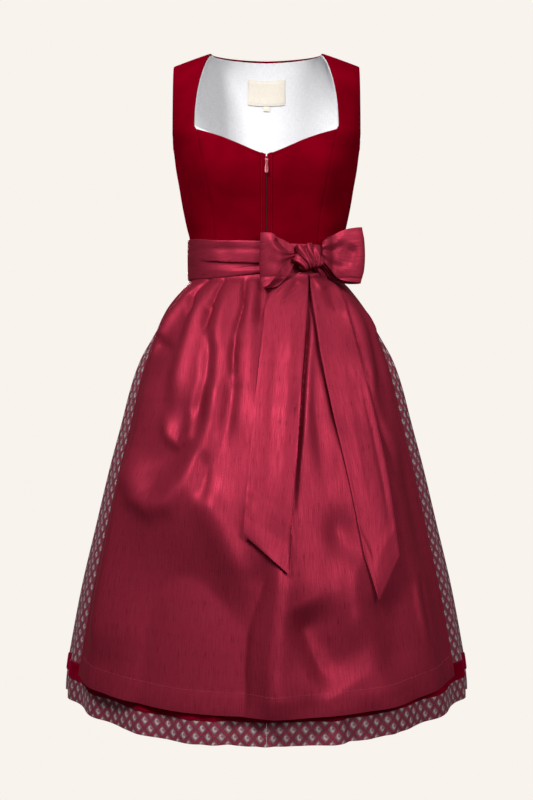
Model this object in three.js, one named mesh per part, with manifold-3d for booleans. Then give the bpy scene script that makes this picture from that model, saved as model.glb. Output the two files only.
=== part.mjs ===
// A dirndl as it is worn: velvet bodice, jacquard skirt, and a satin apron whose ties make the sash and bow.
// Millimetres, +Z up, the front faces -Y and +X is on the right of someone who looks at the front.
// The origin lies midway between the two shoulder straps, at the height of their inner edges.
//
// Every cloth piece is a wall: a grid of points on its outer face, rows from bottom to top and columns
// anticlockwise as seen from above, and the same grid moved inwards by the thickness of the cloth.
import * as THREE from "three";
import Module from "manifold-3d";
import { mergeVertices } from "three/addons/utils/BufferGeometryUtils.js";

const wasm = await Module();
wasm.setup();

// ---------------------------------------------------------------- driving dimensions

const SEAM_GAP = 0.3; // between two pieces that are sewn together, and between two layers
const CLOTH = 1.2; // wall of every outer cloth
const SKIRT_CLOTH = 1.5; // measured level, so that the steep cloth below the waist is still 1 mm
// The lining's depth under the outer face, how far its edges stay below those of the bodice, its share of a strap,
// and its distance from the side seam in gaps.
const LINING = { cloth: 0.8, depth: 3.4, edge: 3, reach: 0.975, seamGaps: 4 };
const LABEL_LIFT = 0.9; // of the label off the lining, which bends under it

// Rings of the bodice: half width, depth to the front and to the back, and how square the ring is.
const BODICE = [
  { z: -112, half: 162, front: 98, back: 91, power: 2.6 },
  { z: -140, half: 162, front: 112, back: 92, power: 2.6 },
  { z: -165, half: 156, front: 119, back: 92, power: 2.55 },
  { z: -200, half: 151, front: 122, back: 90, power: 2.5 },
  { z: -230, half: 145.5, front: 117, back: 87, power: 2.45 },
  { z: -260, half: 140.5, front: 108, back: 83, power: 2.4 },
  { z: -295, half: 133.5, front: 98, back: 79, power: 2.35 },
  { z: -312, half: 129.3, front: 94.5, back: 77, power: 2.3 },
  { z: -335, half: 126, front: 91.5, back: 76, power: 2.3 },
  { z: -360, half: 125, front: 91, back: 76, power: 2.3 },
];
const BUST = { x: 86, z: -214, wide: 36, tall: 42, depth: 5 };
const WAIST_Z = -360;
const UNDERARM_Z = -165;
const PANEL_ROWS = 8;

// The straps rise from these heights and meet on the shoulder, where their edges are these far apart.
const STRAP = { frontBase: -140, backBase: -112, ridgeY: 5, innerX: 93, outerX: 156, outerTopZ: -22, rows: 6 };
const STRAP_BASE = { innerX: 117, outerX: 155 };
const STRAP_CROWN = 1.3;

const NECKLINE = { pointZ: -192, cornerZ: -147, sag: 3, backDepth: 61, backTopZ: 4, sideBulge: 4 };
const ZIP = { half: 2.2, lipInner: 1.0, lipOuter: 8.9, bottomZ: -329, sliderZ: -204 };

// Seams between the panels of the bodice: distance from the middle at each height.
const FRONT_SEAM = [
  { z: -360, x: 84 },
  { z: -300, x: 85 },
  { z: -250, x: 93 },
  { z: -200, x: 103 },
  { z: -147, x: 113 },
];
const BACK_SEAM = [
  { z: -360, x: 52 },
  { z: -300, x: 56 },
  { z: -240, x: 70 },
  { z: -180, x: 96 },
  { z: -145, x: 121 },
  { z: -112, x: 155 },
];
// The armhole below the strap: how far round the body its edge lies, in degrees from the middle of the front.
const ARMHOLE_FRONT = [
  { z: -165, angle: 90 },
  { z: -160, angle: 80 },
  { z: -151, angle: 74.5 },
  { z: -140, angle: 70.8 },
];
const ARMHOLE_BACK = { sag: 10, bend: 0.58 };

// Rings of the skirt through the middle of its flares, and how far each flare swings to either side.
const SKIRT = [
  { z: -360, half: 124.5, front: 90.5, back: 75.5, power: 2.3, wave: 0.5 },
  { z: -386, half: 126, front: 92, back: 78, power: 2.3, wave: 0.9 },
  { z: -396, half: 133.5, front: 98, back: 86, power: 2.3, wave: 2 },
  { z: -420, half: 151, front: 114, back: 106, power: 2.25, wave: 3 },
  { z: -450, half: 170, front: 132, back: 128, power: 2.2, wave: 4 },
  { z: -482, half: 188.5, front: 151, back: 148, power: 2.15, wave: 4.6 },
  { z: -515, half: 206.5, front: 169, back: 166, power: 2.1, wave: 5.2 },
  { z: -560, half: 222.5, front: 189, back: 184, power: 2.05, wave: 5.6 },
  { z: -620, half: 238, front: 209, back: 204, power: 2, wave: 6 },
  { z: -700, half: 259, front: 232, back: 227, power: 2, wave: 6.6 },
  { z: -800, half: 282, front: 257, back: 252, power: 2, wave: 7.2 },
  { z: -900, half: 304, front: 281, back: 276, power: 2, wave: 7.8 },
  { z: -1010, half: 323.5, front: 304, back: 299, power: 2, wave: 8.3 },
  { z: -1042, half: 328, front: 309.5, back: 304.5, power: 2, wave: 8.4 },
  { z: -1080, half: 331.5, front: 315, back: 310, power: 2, wave: 8.5 },
];
const HEM_Z = -1080;
const FLARES = 20;
const COLUMNS_PER_FLARE = 4;
const SIDE_SEAM = 99; // degrees round from the middle of the front
const SKIRT_LEVELS = [-1080, -1046, -1018, -900, -790, -680, -580, -500, -440, -405, -386, -360];
// The hem hangs a little higher between the front and the sides.
const HEM_LIFT = [
  { angle: 0, lift: -2 },
  { angle: 20, lift: -2 },
  { angle: 30, lift: 0.5 },
  { angle: 44, lift: 7 },
  { angle: 52, lift: 9.5 },
  { angle: 60, lift: 15 },
  { angle: 68, lift: 16 },
  { angle: 76, lift: 14 },
  { angle: 92, lift: 10 },
  { angle: 120, lift: 2 },
  { angle: 180, lift: 0 },
];
const LIFT_FROM_Z = -700;
const RIBBON_LEVELS = [-1046, -1018];

// The apron: how far round each level reaches, and its clearance over the crests of the skirt.
const APRON = [
  { z: -378.3, edge: 98, gap: 1, ease: 0.4 },
  { z: -390, edge: 97.5, gap: 1, ease: 1 },
  { z: -420, edge: 91, gap: 1.6, ease: 4 },
  { z: -450, edge: 79, gap: 1.9, ease: 4 },
  { z: -482, edge: 68, gap: 2.2, ease: 4 },
  { z: -520, edge: 63, gap: 2.4, ease: 4 },
  { z: -620, edge: 61.2, gap: 3, ease: 3 },
  { z: -800, edge: 60.8, gap: 3, ease: 2 },
  { z: -1036, edge: 60, gap: 3, ease: 1 },
];
const APRON_TOP_Z = -378.3;
const APRON_CORNER = { rise: 3, fromZ: -700 };
const APRON_LEVELS = [
  -1036, -1010, -965, -900, -830, -760, -690, -620, -560, -510, -470, -440, -416, -401, -391, -384, -378.3,
];
const APRON_COLUMNS = 44;
// Ridges of the apron, in degrees from the middle of the front: pleats from the waist, then the long folds.
const APRON_FOLDS = [
  { top: -82, bottom: -86, start: -384, end: -500, depth: 5, width: 5 },
  { top: -66, bottom: -72, start: -384, end: -540, depth: 7, width: 5 },
  { top: -50, bottom: -62, start: -384, end: -560, depth: 8, width: 5 },
  { top: -36, bottom: -36, start: -384, end: -600, depth: 7, width: 4.5 },
  { top: -21, bottom: -20, start: -384, end: -620, depth: 7, width: 4.5 },
  { top: -6, bottom: -6, start: -384, end: -600, depth: 5, width: 4 },
  { top: 14, bottom: 12, start: -384, end: -560, depth: 5, width: 4.5 },
  { top: 32, bottom: 28, start: -384, end: -560, depth: 5, width: 4.5 },
  { top: 52, bottom: 46, start: -384, end: -580, depth: 6, width: 5 },
  { top: 66, bottom: 60, start: -384, end: -580, depth: 8, width: 4.5 },
  { top: 82, bottom: 78, start: -384, end: -520, depth: 6, width: 5 },
  { top: -52, bottom: -55, start: -520, end: -1300, depth: 10, width: 9 },
  { top: -2, bottom: 4, start: -560, end: -1300, depth: 9, width: 9 },
  { top: 26, bottom: 31, start: -600, end: -1300, depth: 7, width: 5.5 },
  { top: 46, bottom: 48, start: -600, end: -1300, depth: 5, width: 5.5 },
];
const FOLD_FADE = 60; // height over which a fold rises at its start and dies away at its end

// The waistband and the ties that are wrapped over it.
const WAISTBAND = { bottom: -378, top: -331, out: 3.2, reach: 98 };
const SASH = { half: 131.3, front: 97, back: 81, power: 2.3 };
const SASH_EDGE = [
  { angle: -275, bottom: -381, top: -315 },
  { angle: -180, bottom: -382, top: -316 },
  { angle: -100, bottom: -382, top: -315 },
  { angle: -60, bottom: -385, top: -319 },
  { angle: -30, bottom: -385, top: -325 },
  { angle: -5, bottom: -379, top: -327 },
  { angle: 12, bottom: -371, top: -332 },
  { angle: 26, bottom: -366, top: -343 },
];
const SHORT_TIE_EDGE = [
  { angle: 41, bottom: -368, top: -344 },
  { angle: 55, bottom: -378, top: -330 },
  { angle: 84.5, bottom: -382, top: -316 },
];

// The bow, tied to the right of the middle.
const KNOT = {
  x: 68, z: -358, wide: 21, tall: 20, deep: 13, seat: 13.6, tilt: 0.3, turn: 0.2, wraps: 4, wrapDepth: 1.1,
};
const LOOPS = {
  left: { from: 51.3, to: -11, tipTop: -318, tipBottom: -408, knotTall: 24, deep: 17 },
  right: { from: 84.2, to: 155, tipTop: -303, tipBottom: -396, knotTall: 24, deep: 16 },
};
const TAILS = {
  left: [
    { z: -378.4, left: 53, right: 67.6 },
    { z: -400, left: 22, right: 67 },
    { z: -425, left: 1, right: 65 },
    { z: -470, left: -5, right: 61 },
    { z: -560, left: -15, right: 53 },
    { z: -650, left: -24, right: 46 },
    { z: -778, left: -34, right: 35 },
  ],
  right: [
    { z: -378.4, left: 68.6, right: 84 },
    { z: -400, left: 71, right: 116 },
    { z: -440, left: 76, right: 127 },
    { z: -510, left: 84, right: 144 },
    { z: -600, left: 101, right: 165 },
    { z: -690, left: 121, right: 183 },
    { z: -815, left: 146, right: 199 },
  ],
};
const TAIL_TIPS = { left: { x: 32, z: -833 }, right: { x: 165, z: -879 } };
const TAIL_ROWS = 13;
const TAIL_COLUMNS = 4;
// How far a tail stands off the apron under the knot and lower down, and how fast that falls.
const TAIL_LIFT = { top: 7.6, flat: 1.6, drop: 14 };

// Label and size tab, sewn inside the back of the neck.
const LABEL = { half: 32.5, top: -28, bottom: -70, cloth: 0.6 };
const SIZE_TAB = { half: 6, top: -70.6, bottom: -79, cloth: 0.6 };

// Slider and pull tab of the zip, about the axis of their hinge.
const SLIDER = {
  wide: 5, tall: 9, thick: 1.2, out: 2.2, stem: 1.2, earThick: 0.8, earInner: 1.5, earTall: 2.4,
};
const PIN = { radius: 0.45, out: 4.9 };
const PULL = { length: 19, neck: 1.3, belly: 2.7, thick: 1.2, barrel: 1.1, bore: 0.75, barrelHalf: 1.2 };
const ROUND = 16; // sides of every round hard piece

// ---------------------------------------------------------------- numbers and tables

const radians = (degrees) => (degrees * Math.PI) / 180;
const degrees = (angle) => (angle * 180) / Math.PI;
const mix = (from, to, share) => from + (to - from) * share;
const clamp = (value) => Math.min(1, Math.max(0, value));
const smooth = (value) => clamp(value) ** 2 * (3 - 2 * clamp(value));
const signedPower = (value, power) => Math.sign(value) * Math.abs(value) ** power;
const range = (count) => Array.from({ length: count + 1 }, (_, index) => index / count);

/** The row of a table at one value of its key, with every column carried smoothly through the rows. */
function rowAt(table, key, value) {
  const rising = table[table.length - 1][key] > table[0][key];
  const rows = rising ? table : [...table].reverse();
  const at = THREE.MathUtils.clamp(value, rows[0][key], rows[rows.length - 1][key]);
  const low = Math.max(0, rows.findLastIndex((row) => row[key] <= at && row !== rows[rows.length - 1]));
  const span = rows[low + 1][key] - rows[low][key];
  const share = (at - rows[low][key]) / span;
  const slope = (index, column) => {
    const before = rows[Math.max(0, index - 1)];
    const after = rows[Math.min(rows.length - 1, index + 1)];
    return ((after[column] - before[column]) / (after[key] - before[key])) * span;
  };
  const result = {};
  for (const column of Object.keys(rows[0])) {
    const start = rows[low][column];
    const end = rows[low + 1][column];
    const out = slope(low, column);
    const into = slope(low + 1, column);
    result[column] = start + share * (out + share * (3 * (end - start) - 2 * out - into
      + share * (2 * (start - end) + out + into)));
  }
  return result;
}

// ---------------------------------------------------------------- walls of cloth

/** The direction of a line of points at one of them, bent with the line at its two ends. */
function directionAt(points, index) {
  const last = points.length - 1;
  if (index > 0 && index < last) return points[index + 1].clone().sub(points[index - 1]);
  if (last === 1) return points[1].clone().sub(points[0]);
  const [end, next, third] = index === 0 ? [0, 1, 2] : [last, last - 1, last - 2];
  const inwards = points[next].clone().multiplyScalar(4).sub(points[third]).addScaledVector(points[end], -3);
  return index === 0 ? inwards : inwards.negate();
}

/** The same grid, moved out of its outer face, or into it by a negative distance. */
const moved = (grid, distance) => grid.map((row, i) => row.map((point, j) => {
  const column = grid.map((other) => other[j]);
  const normal = directionAt(row, j).cross(directionAt(column, i)).normalize();
  return point.clone().addScaledVector(normal, distance);
}));

/** A grid on the other side of the body. */
const mirrored = (grid) => grid.map(
  (row) => row.map((point) => new THREE.Vector3(-point.x, point.y, point.z)).reverse());

/** A closed wall between the grid of its outer face and the grid of its inner face. */
function wallBetween(grid, inner) {
  const columns = grid[0].length;
  const points = [...grid.flat(), ...inner.flat()];
  const outside = (i, j) => i * columns + j;
  const inside = (i, j) => grid.length * columns + outside(i, j);
  const faces = [];
  for (let i = 0; i < grid.length - 1; i += 1) {
    for (let j = 0; j < columns - 1; j += 1) {
      faces.push(outside(i, j), outside(i, j + 1), outside(i + 1, j + 1));
      faces.push(outside(i, j), outside(i + 1, j + 1), outside(i + 1, j));
      faces.push(inside(i, j), inside(i + 1, j + 1), inside(i, j + 1));
      faces.push(inside(i, j), inside(i + 1, j), inside(i + 1, j + 1));
    }
  }
  const border = (fromRow, fromColumn, toRow, toColumn) => {
    const from = outside(fromRow, fromColumn);
    const to = outside(toRow, toColumn);
    faces.push(to, from, inside(fromRow, fromColumn));
    faces.push(to, inside(fromRow, fromColumn), inside(toRow, toColumn));
  };
  const top = grid.length - 1;
  for (let j = 0; j < columns - 1; j += 1) {
    border(0, j, 0, j + 1);
    border(top, j + 1, top, j);
  }
  for (let i = 0; i < top; i += 1) {
    border(i, columns - 1, i + 1, columns - 1);
    border(i + 1, 0, i, 0);
  }
  const geometry = new THREE.BufferGeometry();
  geometry.setAttribute("position", new THREE.Float32BufferAttribute(points.flatMap((p) => p.toArray()), 3));
  geometry.setIndex(faces);
  return geometry;
}

/** A closed wall between a grid and the same grid moved in by the thickness. */
const wall = (grid, thickness = CLOTH) => wallBetween(grid, moved(grid, -thickness));

// ---------------------------------------------------------------- the body that the pieces follow

/** A point of a ring, at an angle from the middle of the front and pushed out on every side. */
function ringPoint(ring, angle, z, out = 0) {
  const across = signedPower(Math.sin(angle), 2 / ring.power);
  const along = signedPower(Math.cos(angle), 2 / ring.power);
  const depth = along > 0 ? ring.front : ring.back;
  return new THREE.Vector3((ring.half + out) * across, -(depth + out) * along, z);
}

/** The angle from the middle of the front at which a ring is this far to the side. */
const ringAngle = (ring, x) => Math.sign(x) * Math.asin(clamp(Math.abs(x) / ring.half) ** (ring.power / 2));

/** A point on the outer face of the bodice, the bust included. */
function bodicePoint(angle, z) {
  const point = ringPoint(rowAt(BODICE, "z", z), angle, z);
  const aside = (Math.abs(point.x) - BUST.x) / BUST.wide;
  const above = (z - BUST.z) / BUST.tall;
  if (point.y < 0) point.y -= BUST.depth * Math.exp(-(aside ** 2) - above ** 2);
  return point;
}

const bodiceAngle = (x, z) => ringAngle(rowAt(BODICE, "z", z), x);

/** The angle of the side seam, or of a line this many gaps away from it towards the back. */
function sideSeamAngle(z, gaps) {
  const ring = rowAt(BODICE, "z", z);
  return Math.PI / 2 + Math.sign(gaps) * (Math.abs(gaps) * SEAM_GAP / 2 / ring.front) ** (ring.power / 2);
}

/** A row of a panel: points between two edges that may lie at different heights. */
const panelRow = (columns, from, to, sag = 0) => range(columns).map((share) => bodicePoint(
  mix(from.angle, to.angle, share),
  mix(from.z, to.z, share) - sag * Math.sin(Math.PI * share),
));

/** A point of a strap that rises over the shoulder; rise goes from 0 at its base to a right angle at the top. */
function crownPoint(base, top, rise) {
  const climb = Math.sin(rise);
  return new THREE.Vector3(
    mix(base.x, top.x, climb ** 2),
    top.y + (base.y - top.y) * Math.cos(rise) ** STRAP_CROWN,
    mix(base.z, top.z, climb),
  );
}

/** The top edge of a strap, from its inner edge at 0 to its outer edge at 1. */
const strapTop = (share, y) => new THREE.Vector3(
  mix(STRAP.innerX, STRAP.outerX, share), y, STRAP.outerTopZ * share);

// ---------------------------------------------------------------- bodice panels, right side of the front view

/** Front centre panel, from the zip to the seam over the bust. */
function frontCentreGrid() {
  return range(PANEL_ROWS).map((share) => {
    const inner = mix(WAIST_Z, NECKLINE.pointZ, share) + SEAM_GAP / 2;
    const outer = mix(WAIST_Z, NECKLINE.cornerZ, share) + SEAM_GAP / 2;
    const seam = rowAt(FRONT_SEAM, "z", outer).x - SEAM_GAP / 2;
    const from = { angle: bodiceAngle(ZIP.half, inner), z: inner };
    const to = { angle: bodiceAngle(seam, outer), z: outer };
    return panelRow(5, from, to, NECKLINE.sag * share ** 4);
  });
}

/** The front of a strap, above the level at which the armhole stands upright. */
function frontStrapRows(rises, columns) {
  const z = STRAP.frontBase;
  return rises.map((rise) => range(columns).map((share) => {
    const x = mix(STRAP_BASE.innerX, STRAP_BASE.outerX, share);
    const base = bodicePoint(bodiceAngle(x, z), z);
    return crownPoint(base, strapTop(share, STRAP.ridgeY - SEAM_GAP / 2), rise);
  }));
}

const STRAP_RISES = range(STRAP.rows).slice(1).map((share) => (share * Math.PI) / 2);

/** Front side panel, from the seam over the bust to the side seam, with the front of the strap. */
function frontSideGrid() {
  const columns = 4;
  const body = range(PANEL_ROWS).map((share) => {
    const inner = mix(WAIST_Z, NECKLINE.cornerZ, share) + SEAM_GAP / 2;
    const outer = mix(WAIST_Z, UNDERARM_Z, share) + SEAM_GAP / 2;
    const seam = rowAt(FRONT_SEAM, "z", inner).x + SEAM_GAP / 2;
    const start = { angle: bodiceAngle(seam, inner), z: inner };
    return panelRow(columns, start, { angle: sideSeamAngle(outer, -1), z: outer });
  });
  const underarm = ARMHOLE_FRONT.slice(1).map((edge, index) => {
    const share = (index + 1) / (ARMHOLE_FRONT.length - 1);
    const z = mix(NECKLINE.cornerZ, STRAP.frontBase, share);
    const x = mix(FRONT_SEAM[FRONT_SEAM.length - 1].x, STRAP_BASE.innerX, share);
    return panelRow(columns, { angle: bodiceAngle(x, z), z }, { angle: radians(edge.angle), z: edge.z });
  });
  return [...body, ...underarm, ...frontStrapRows(STRAP_RISES, columns)];
}

const NECK_SHARE = 0.62; // share of half the back's top edge that is neckline; the rest is the end of a strap

/** The upper back over its base row: across runs from -1 to 1, and up from 0 at the base to 1 at the top edge. */
function upperBackPoint(across, up) {
  const aside = Math.abs(across);
  const side = Math.sign(across) || 1;
  const z = STRAP.backBase;
  const base = bodicePoint(Math.PI - aside * bodiceAngle(STRAP_BASE.outerX, z), z);
  const round = (Math.min(1, aside / NECK_SHARE) * Math.PI) / 2;
  const neck = new THREE.Vector3(
    STRAP.innerX * Math.sin(round),
    STRAP.ridgeY + NECKLINE.backDepth * Math.cos(round),
    NECKLINE.backTopZ * Math.cos(round) + NECKLINE.sideBulge * Math.sin(2 * round),
  );
  const ridge = strapTop((aside - NECK_SHARE) / (1 - NECK_SHARE), STRAP.ridgeY);
  const top = aside > NECK_SHARE ? ridge : neck;
  top.y += SEAM_GAP / 2;
  const over = crownPoint(base, top, (up * Math.PI) / 2);
  const straight = new THREE.Vector3(
    mix(base.x, top.x, up ** 2),
    top.y + (base.y - top.y) * (1 - up ** 2),
    mix(base.z, top.z, up),
  );
  const point = straight.lerp(over, smooth(aside / NECK_SHARE));
  point.x *= side;
  return point;
}

// Rows of the back crowd together towards the armhole, where its seam curves most.
const BACK_SHARES = range(PANEL_ROWS + 1).map((share) => 1 - (1 - share) ** 1.6);
const HALF_BACK = [1, 0.87, 0.75, NECK_SHARE, 0.42, 0.22, 0.1];
const BACK_COLUMNS = [...HALF_BACK, 0, ...HALF_BACK.map((place) => -place).reverse()];
const upperBackRows = (reach) => range(STRAP.rows).slice(1).map(
  (up) => BACK_COLUMNS.map((place) => upperBackPoint(place, up * reach)));

/** Back centre panel, on the fold, with the back of both straps. */
function backCentreGrid() {
  const body = BACK_SHARES.map((share) => {
    const z = mix(WAIST_Z + SEAM_GAP / 2, STRAP.backBase, share);
    const seam = rowAt(BACK_SEAM, "z", z).x - SEAM_GAP / 2;
    return BACK_COLUMNS.map((place) => bodicePoint(Math.PI - place * bodiceAngle(seam, z), z));
  });
  return [...body, ...upperBackRows(1)];
}

/** Back side panel, from the side seam to the curved back seam. */
function backSideGrid() {
  return BACK_SHARES.map((share) => {
    const inner = mix(WAIST_Z + SEAM_GAP / 2, STRAP.backBase, share);
    const outer = mix(WAIST_Z, UNDERARM_Z, share) + SEAM_GAP / 2;
    const seam = rowAt(BACK_SEAM, "z", inner).x + SEAM_GAP / 2;
    const from = { angle: sideSeamAngle(outer, 1), z: outer };
    const to = { angle: Math.PI - bodiceAngle(seam, inner), z: inner };
    return panelRow(5, from, to, ARMHOLE_BACK.sag * share ** 4);
  });
}

// ---------------------------------------------------------------- lining, label and zip facings

/** Lining of one front, from the zip to the side seam and up the strap. */
function liningFrontGrid() {
  const columns = 5;
  const low = WAIST_Z + LINING.edge;
  const body = range(PANEL_ROWS).map((share) => {
    const inner = mix(low, NECKLINE.pointZ - LINING.edge, share);
    const outer = mix(low, UNDERARM_Z - LINING.edge, share);
    const from = { angle: bodiceAngle(ZIP.half + LINING.edge, inner), z: inner };
    return panelRow(columns, from, { angle: sideSeamAngle(outer, -LINING.seamGaps), z: outer });
  });
  const yoke = ARMHOLE_FRONT.map((edge, index) => {
    const share = (index + 1) / ARMHOLE_FRONT.length;
    const z = mix(NECKLINE.pointZ, STRAP.frontBase + LINING.edge, share) - LINING.edge;
    const x = mix(ZIP.half + LINING.edge, STRAP_BASE.innerX, share);
    const outer = { angle: radians(edge.angle - 1), z: edge.z - LINING.edge * (1 - share) };
    return panelRow(columns, { angle: bodiceAngle(x, z), z }, outer);
  });
  return [...body, ...yoke, ...frontStrapRows(STRAP_RISES.map((rise) => rise * LINING.reach), columns)];
}

/** Lining of the whole back, from side seam to side seam and narrower beside the armholes. */
function liningBackGrid() {
  const body = BACK_SHARES.map((share) => {
    const z = mix(WAIST_Z + LINING.edge * (1 - share), STRAP.backBase, share);
    const rise = clamp((z - UNDERARM_Z + LINING.edge) / (STRAP.backBase - UNDERARM_Z + LINING.edge));
    const widest = Math.PI - sideSeamAngle(z, LINING.seamGaps);
    const reach = mix(widest, bodiceAngle(STRAP_BASE.outerX, STRAP.backBase), rise ** ARMHOLE_BACK.bend);
    return BACK_COLUMNS.map((place) => bodicePoint(Math.PI - place * reach, z));
  });
  return [...body, ...upperBackRows(LINING.reach)];
}

/** A patch of the upper back between two heights and as far as its half width to either side. */
function backPatchGrid(patch, columns) {
  const height = NECKLINE.backTopZ - STRAP.backBase;
  return [patch.bottom, patch.top].map((z) => range(columns).map((share) => {
    const x = mix(patch.half, -patch.half, share);
    const up = (z - STRAP.backBase) / height;
    let low = -NECK_SHARE;
    let high = NECK_SHARE;
    for (let step = 0; step < 30; step += 1) {
      const middle = (low + high) / 2;
      if (upperBackPoint(middle, up).x < x) low = middle;
      else high = middle;
    }
    return upperBackPoint(low, up);
  }));
}

/** A strip down the middle of the front, between two distances from the middle. */
const frontStripGrid = (fromX, toX, topAt, count) => range(8).map((share) => range(count).map((across) => {
  const x = mix(fromX, toX, across);
  const z = mix(ZIP.bottomZ, topAt(x), share);
  return bodicePoint(bodiceAngle(x, z), z);
}));

const seamTopX = FRONT_SEAM[FRONT_SEAM.length - 1].x;
const necklineAt = (x) => mix(NECKLINE.pointZ, NECKLINE.cornerZ, Math.abs(x) / seamTopX);

// ---------------------------------------------------------------- skirt, ribbon and apron

const hemLift = (angle, z) => {
  const aside = Math.abs(degrees(Math.atan2(Math.sin(angle), Math.cos(angle))));
  return rowAt(HEM_LIFT, "angle", aside).lift * smooth((LIFT_FROM_Z - z) / (LIFT_FROM_Z - HEM_Z));
};

/** A point on the outer face of the skirt, or as far out of it or into it as asked. */
function skirtPoint(angle, z, out) {
  const ring = rowAt(SKIRT, "z", z);
  const point = ringPoint(ring, angle, z, ring.wave * Math.cos(FLARES * angle) + out);
  point.z += hemLift(angle, z);
  return point;
}

/** Angles of a panel's columns: on every quarter flare, with its seams moved in by half the gap. */
function flareAngles(from, to) {
  const step = 360 / FLARES / COLUMNS_PER_FLARE;
  const inner = range(Math.round(360 / step)).map((share) => share * 360 - 180);
  const wrapped = [...inner, ...inner.slice(1).map((angle) => angle + 360)];
  const between = wrapped.filter((angle) => angle > from + step / 3 && angle < to - step / 3);
  const gap = degrees(SEAM_GAP / 2 / SKIRT[0].half);
  return [from + gap, ...between, to - gap].map(radians);
}

/** A grid over the skirt between two angles, at the given levels. */
const skirtGrid = (from, to, levels, out) => levels.map((z) => flareAngles(from, to).map(
  (angle) => skirtPoint(angle, Math.min(z, WAIST_Z - SEAM_GAP / 2), out)));

/** A wall that follows the skirt, its inner face this far out of the skirt's outer face. */
const skirtWall = (from, to, levels, inner, thickness) => wallBetween(
  skirtGrid(from, to, levels, inner + thickness), skirtGrid(from, to, levels, inner));

/** How far the folds of the apron stand out at one place. */
function apronFolds(angle, z) {
  const aside = degrees(angle);
  return APRON_FOLDS.reduce((sum, fold) => {
    const down = clamp((fold.start - z) / (fold.start - Math.max(fold.end, HEM_Z)));
    const middle = mix(fold.top, fold.bottom, down);
    const fade = smooth((fold.start - z) / FOLD_FADE) * smooth((z - fold.end) / FOLD_FADE);
    return sum + fold.depth * fade * Math.exp(-(((aside - middle) / fold.width) ** 2));
  }, 0);
}

/** The ring that just clears the crests of the skirt, where the apron lies. */
function apronRing(z) {
  const ring = rowAt(SKIRT, "z", z);
  const over = rowAt(APRON, "z", z);
  return { ring, out: ring.wave + over.gap + CLOTH, ease: over.ease };
}

/** A point on the outer face of the apron, or as far into it as asked. */
function apronPoint(angle, z, inwards) {
  const { ring, out } = apronRing(z);
  const point = ringPoint(ring, angle, z, out + apronFolds(angle, z) - inwards);
  point.z += hemLift(angle, z);
  return point;
}

const apronGrid = (inwards) => APRON_LEVELS.map((level) => range(APRON_COLUMNS).map((place) => {
  const across = place * 2 - 1;
  const low = smooth((APRON_CORNER.fromZ - level) / (APRON_CORNER.fromZ - APRON_LEVELS[0]));
  const z = level + APRON_CORNER.rise * across ** 2 * low;
  return apronPoint(radians(rowAt(APRON, "z", z).edge) * across, z, inwards);
}));

// ---------------------------------------------------------------- waistband, sash and bow

/** A band round the waist: rows between two edges given by the angle. */
const bandGrid = (from, to, count, rows, ring, edgeAt) => range(rows).map((up) => range(count).map((share) => {
  const angle = mix(from, to, share);
  const edge = edgeAt(angle);
  return ringPoint(ring, radians(angle), mix(edge.bottom, edge.top, up));
}));

/** The outermost face of the dressed front: the sash at the waist, and the crests of the apron below it. */
function dressedFront(x, z, out) {
  const low = apronRing(Math.min(z, APRON_TOP_Z));
  const onSash = z > SASH_EDGE[3].bottom;
  const ring = onSash ? SASH : low.ring;
  const crest = onSash ? 0 : low.out + low.ease;
  const grown = { ...ring, half: ring.half + crest + out, front: ring.front + crest + out };
  return ringPoint(grown, ringAngle(grown, x), z);
}

/** The highest that the apron stands near one place, with the clearance of a piece that lies on it. */
function overApron(x, z, clearance) {
  const { ring, out } = apronRing(Math.min(z, APRON_TOP_Z));
  const angle = ringAngle(ring, x);
  const near = [-8, -4, 0, 4, 8].map((aside) => apronFolds(angle + radians(aside), z));
  const sash = SASH.front - ring.front;
  const lift = Math.max(out + Math.max(...near), z > SASH_EDGE[3].bottom - 8 ? sash : 0) + clearance;
  const grown = { ...ring, half: ring.half + lift, front: ring.front + lift };
  return ringPoint(grown, ringAngle(grown, x), z);
}

/** One tail of the bow, from the knot to its slanted end. */
function tailGrid(rows, tip) {
  const last = rows[rows.length - 1];
  const tall = rows[0].z - last.z;
  const tipShare = (tip.x - last.left) / (last.right - last.left);
  const columns = [...range(TAIL_COLUMNS), tipShare].sort((one, other) => one - other);
  return range(TAIL_ROWS).reverse().map((down) => columns.map((across) => {
    const level = rowAt(rows, "z", rows[0].z - tall * down);
    const slant = across <= tipShare ? across / tipShare : (1 - across) / (1 - tipShare);
    const reach = (tip.z - last.z) * clamp(slant) * down ** 3;
    const x = mix(level.left, level.right, across);
    const z = level.z + reach;
    const lift = TAIL_LIFT.flat + TAIL_LIFT.top * Math.exp(-TAIL_LIFT.drop * down);
    return overApron(x, z, CLOTH + lift);
  }));
}

const knotSeat = dressedFront(KNOT.x, KNOT.z, KNOT.seat);

/** One loop of the bow: a band that leaves the knot, turns over at its outer end and comes back. */
function loopGrid(loop) {
  const turns = range(14).map((share) => mix(0.09, 0.91, share) * Math.PI * 2);
  const middle = (loop.tipTop + loop.tipBottom) / 2;
  const half = (loop.tipTop - loop.tipBottom) / 2;
  const grid = range(4).map((up) => turns.map((turn) => {
    const along = (1 - Math.cos(turn)) / 2;
    const open = smooth(along * 1.25);
    const tall = mix(loop.knotTall / 2, half, open);
    const z = mix(KNOT.z, middle, open) + (up * 2 - 1) * tall;
    const x = mix(loop.from, loop.to, along);
    const thick = loop.deep * mix(0.55, 1, open);
    const body = dressedFront(Math.min(x, SASH.half * 0.8), Math.min(z, KNOT.z), 9).y;
    const back = mix(knotSeat.y + thick / 2, body, smooth(along * 2.2));
    const depth = thick * (0.5 - 0.5 * Math.sin(turn) * Math.sqrt(Math.abs(Math.sin(turn))));
    return new THREE.Vector3(x, back - thick + depth, z);
  }));
  return loop.to > loop.from ? grid.map((row) => row.reverse()) : grid;
}

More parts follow.
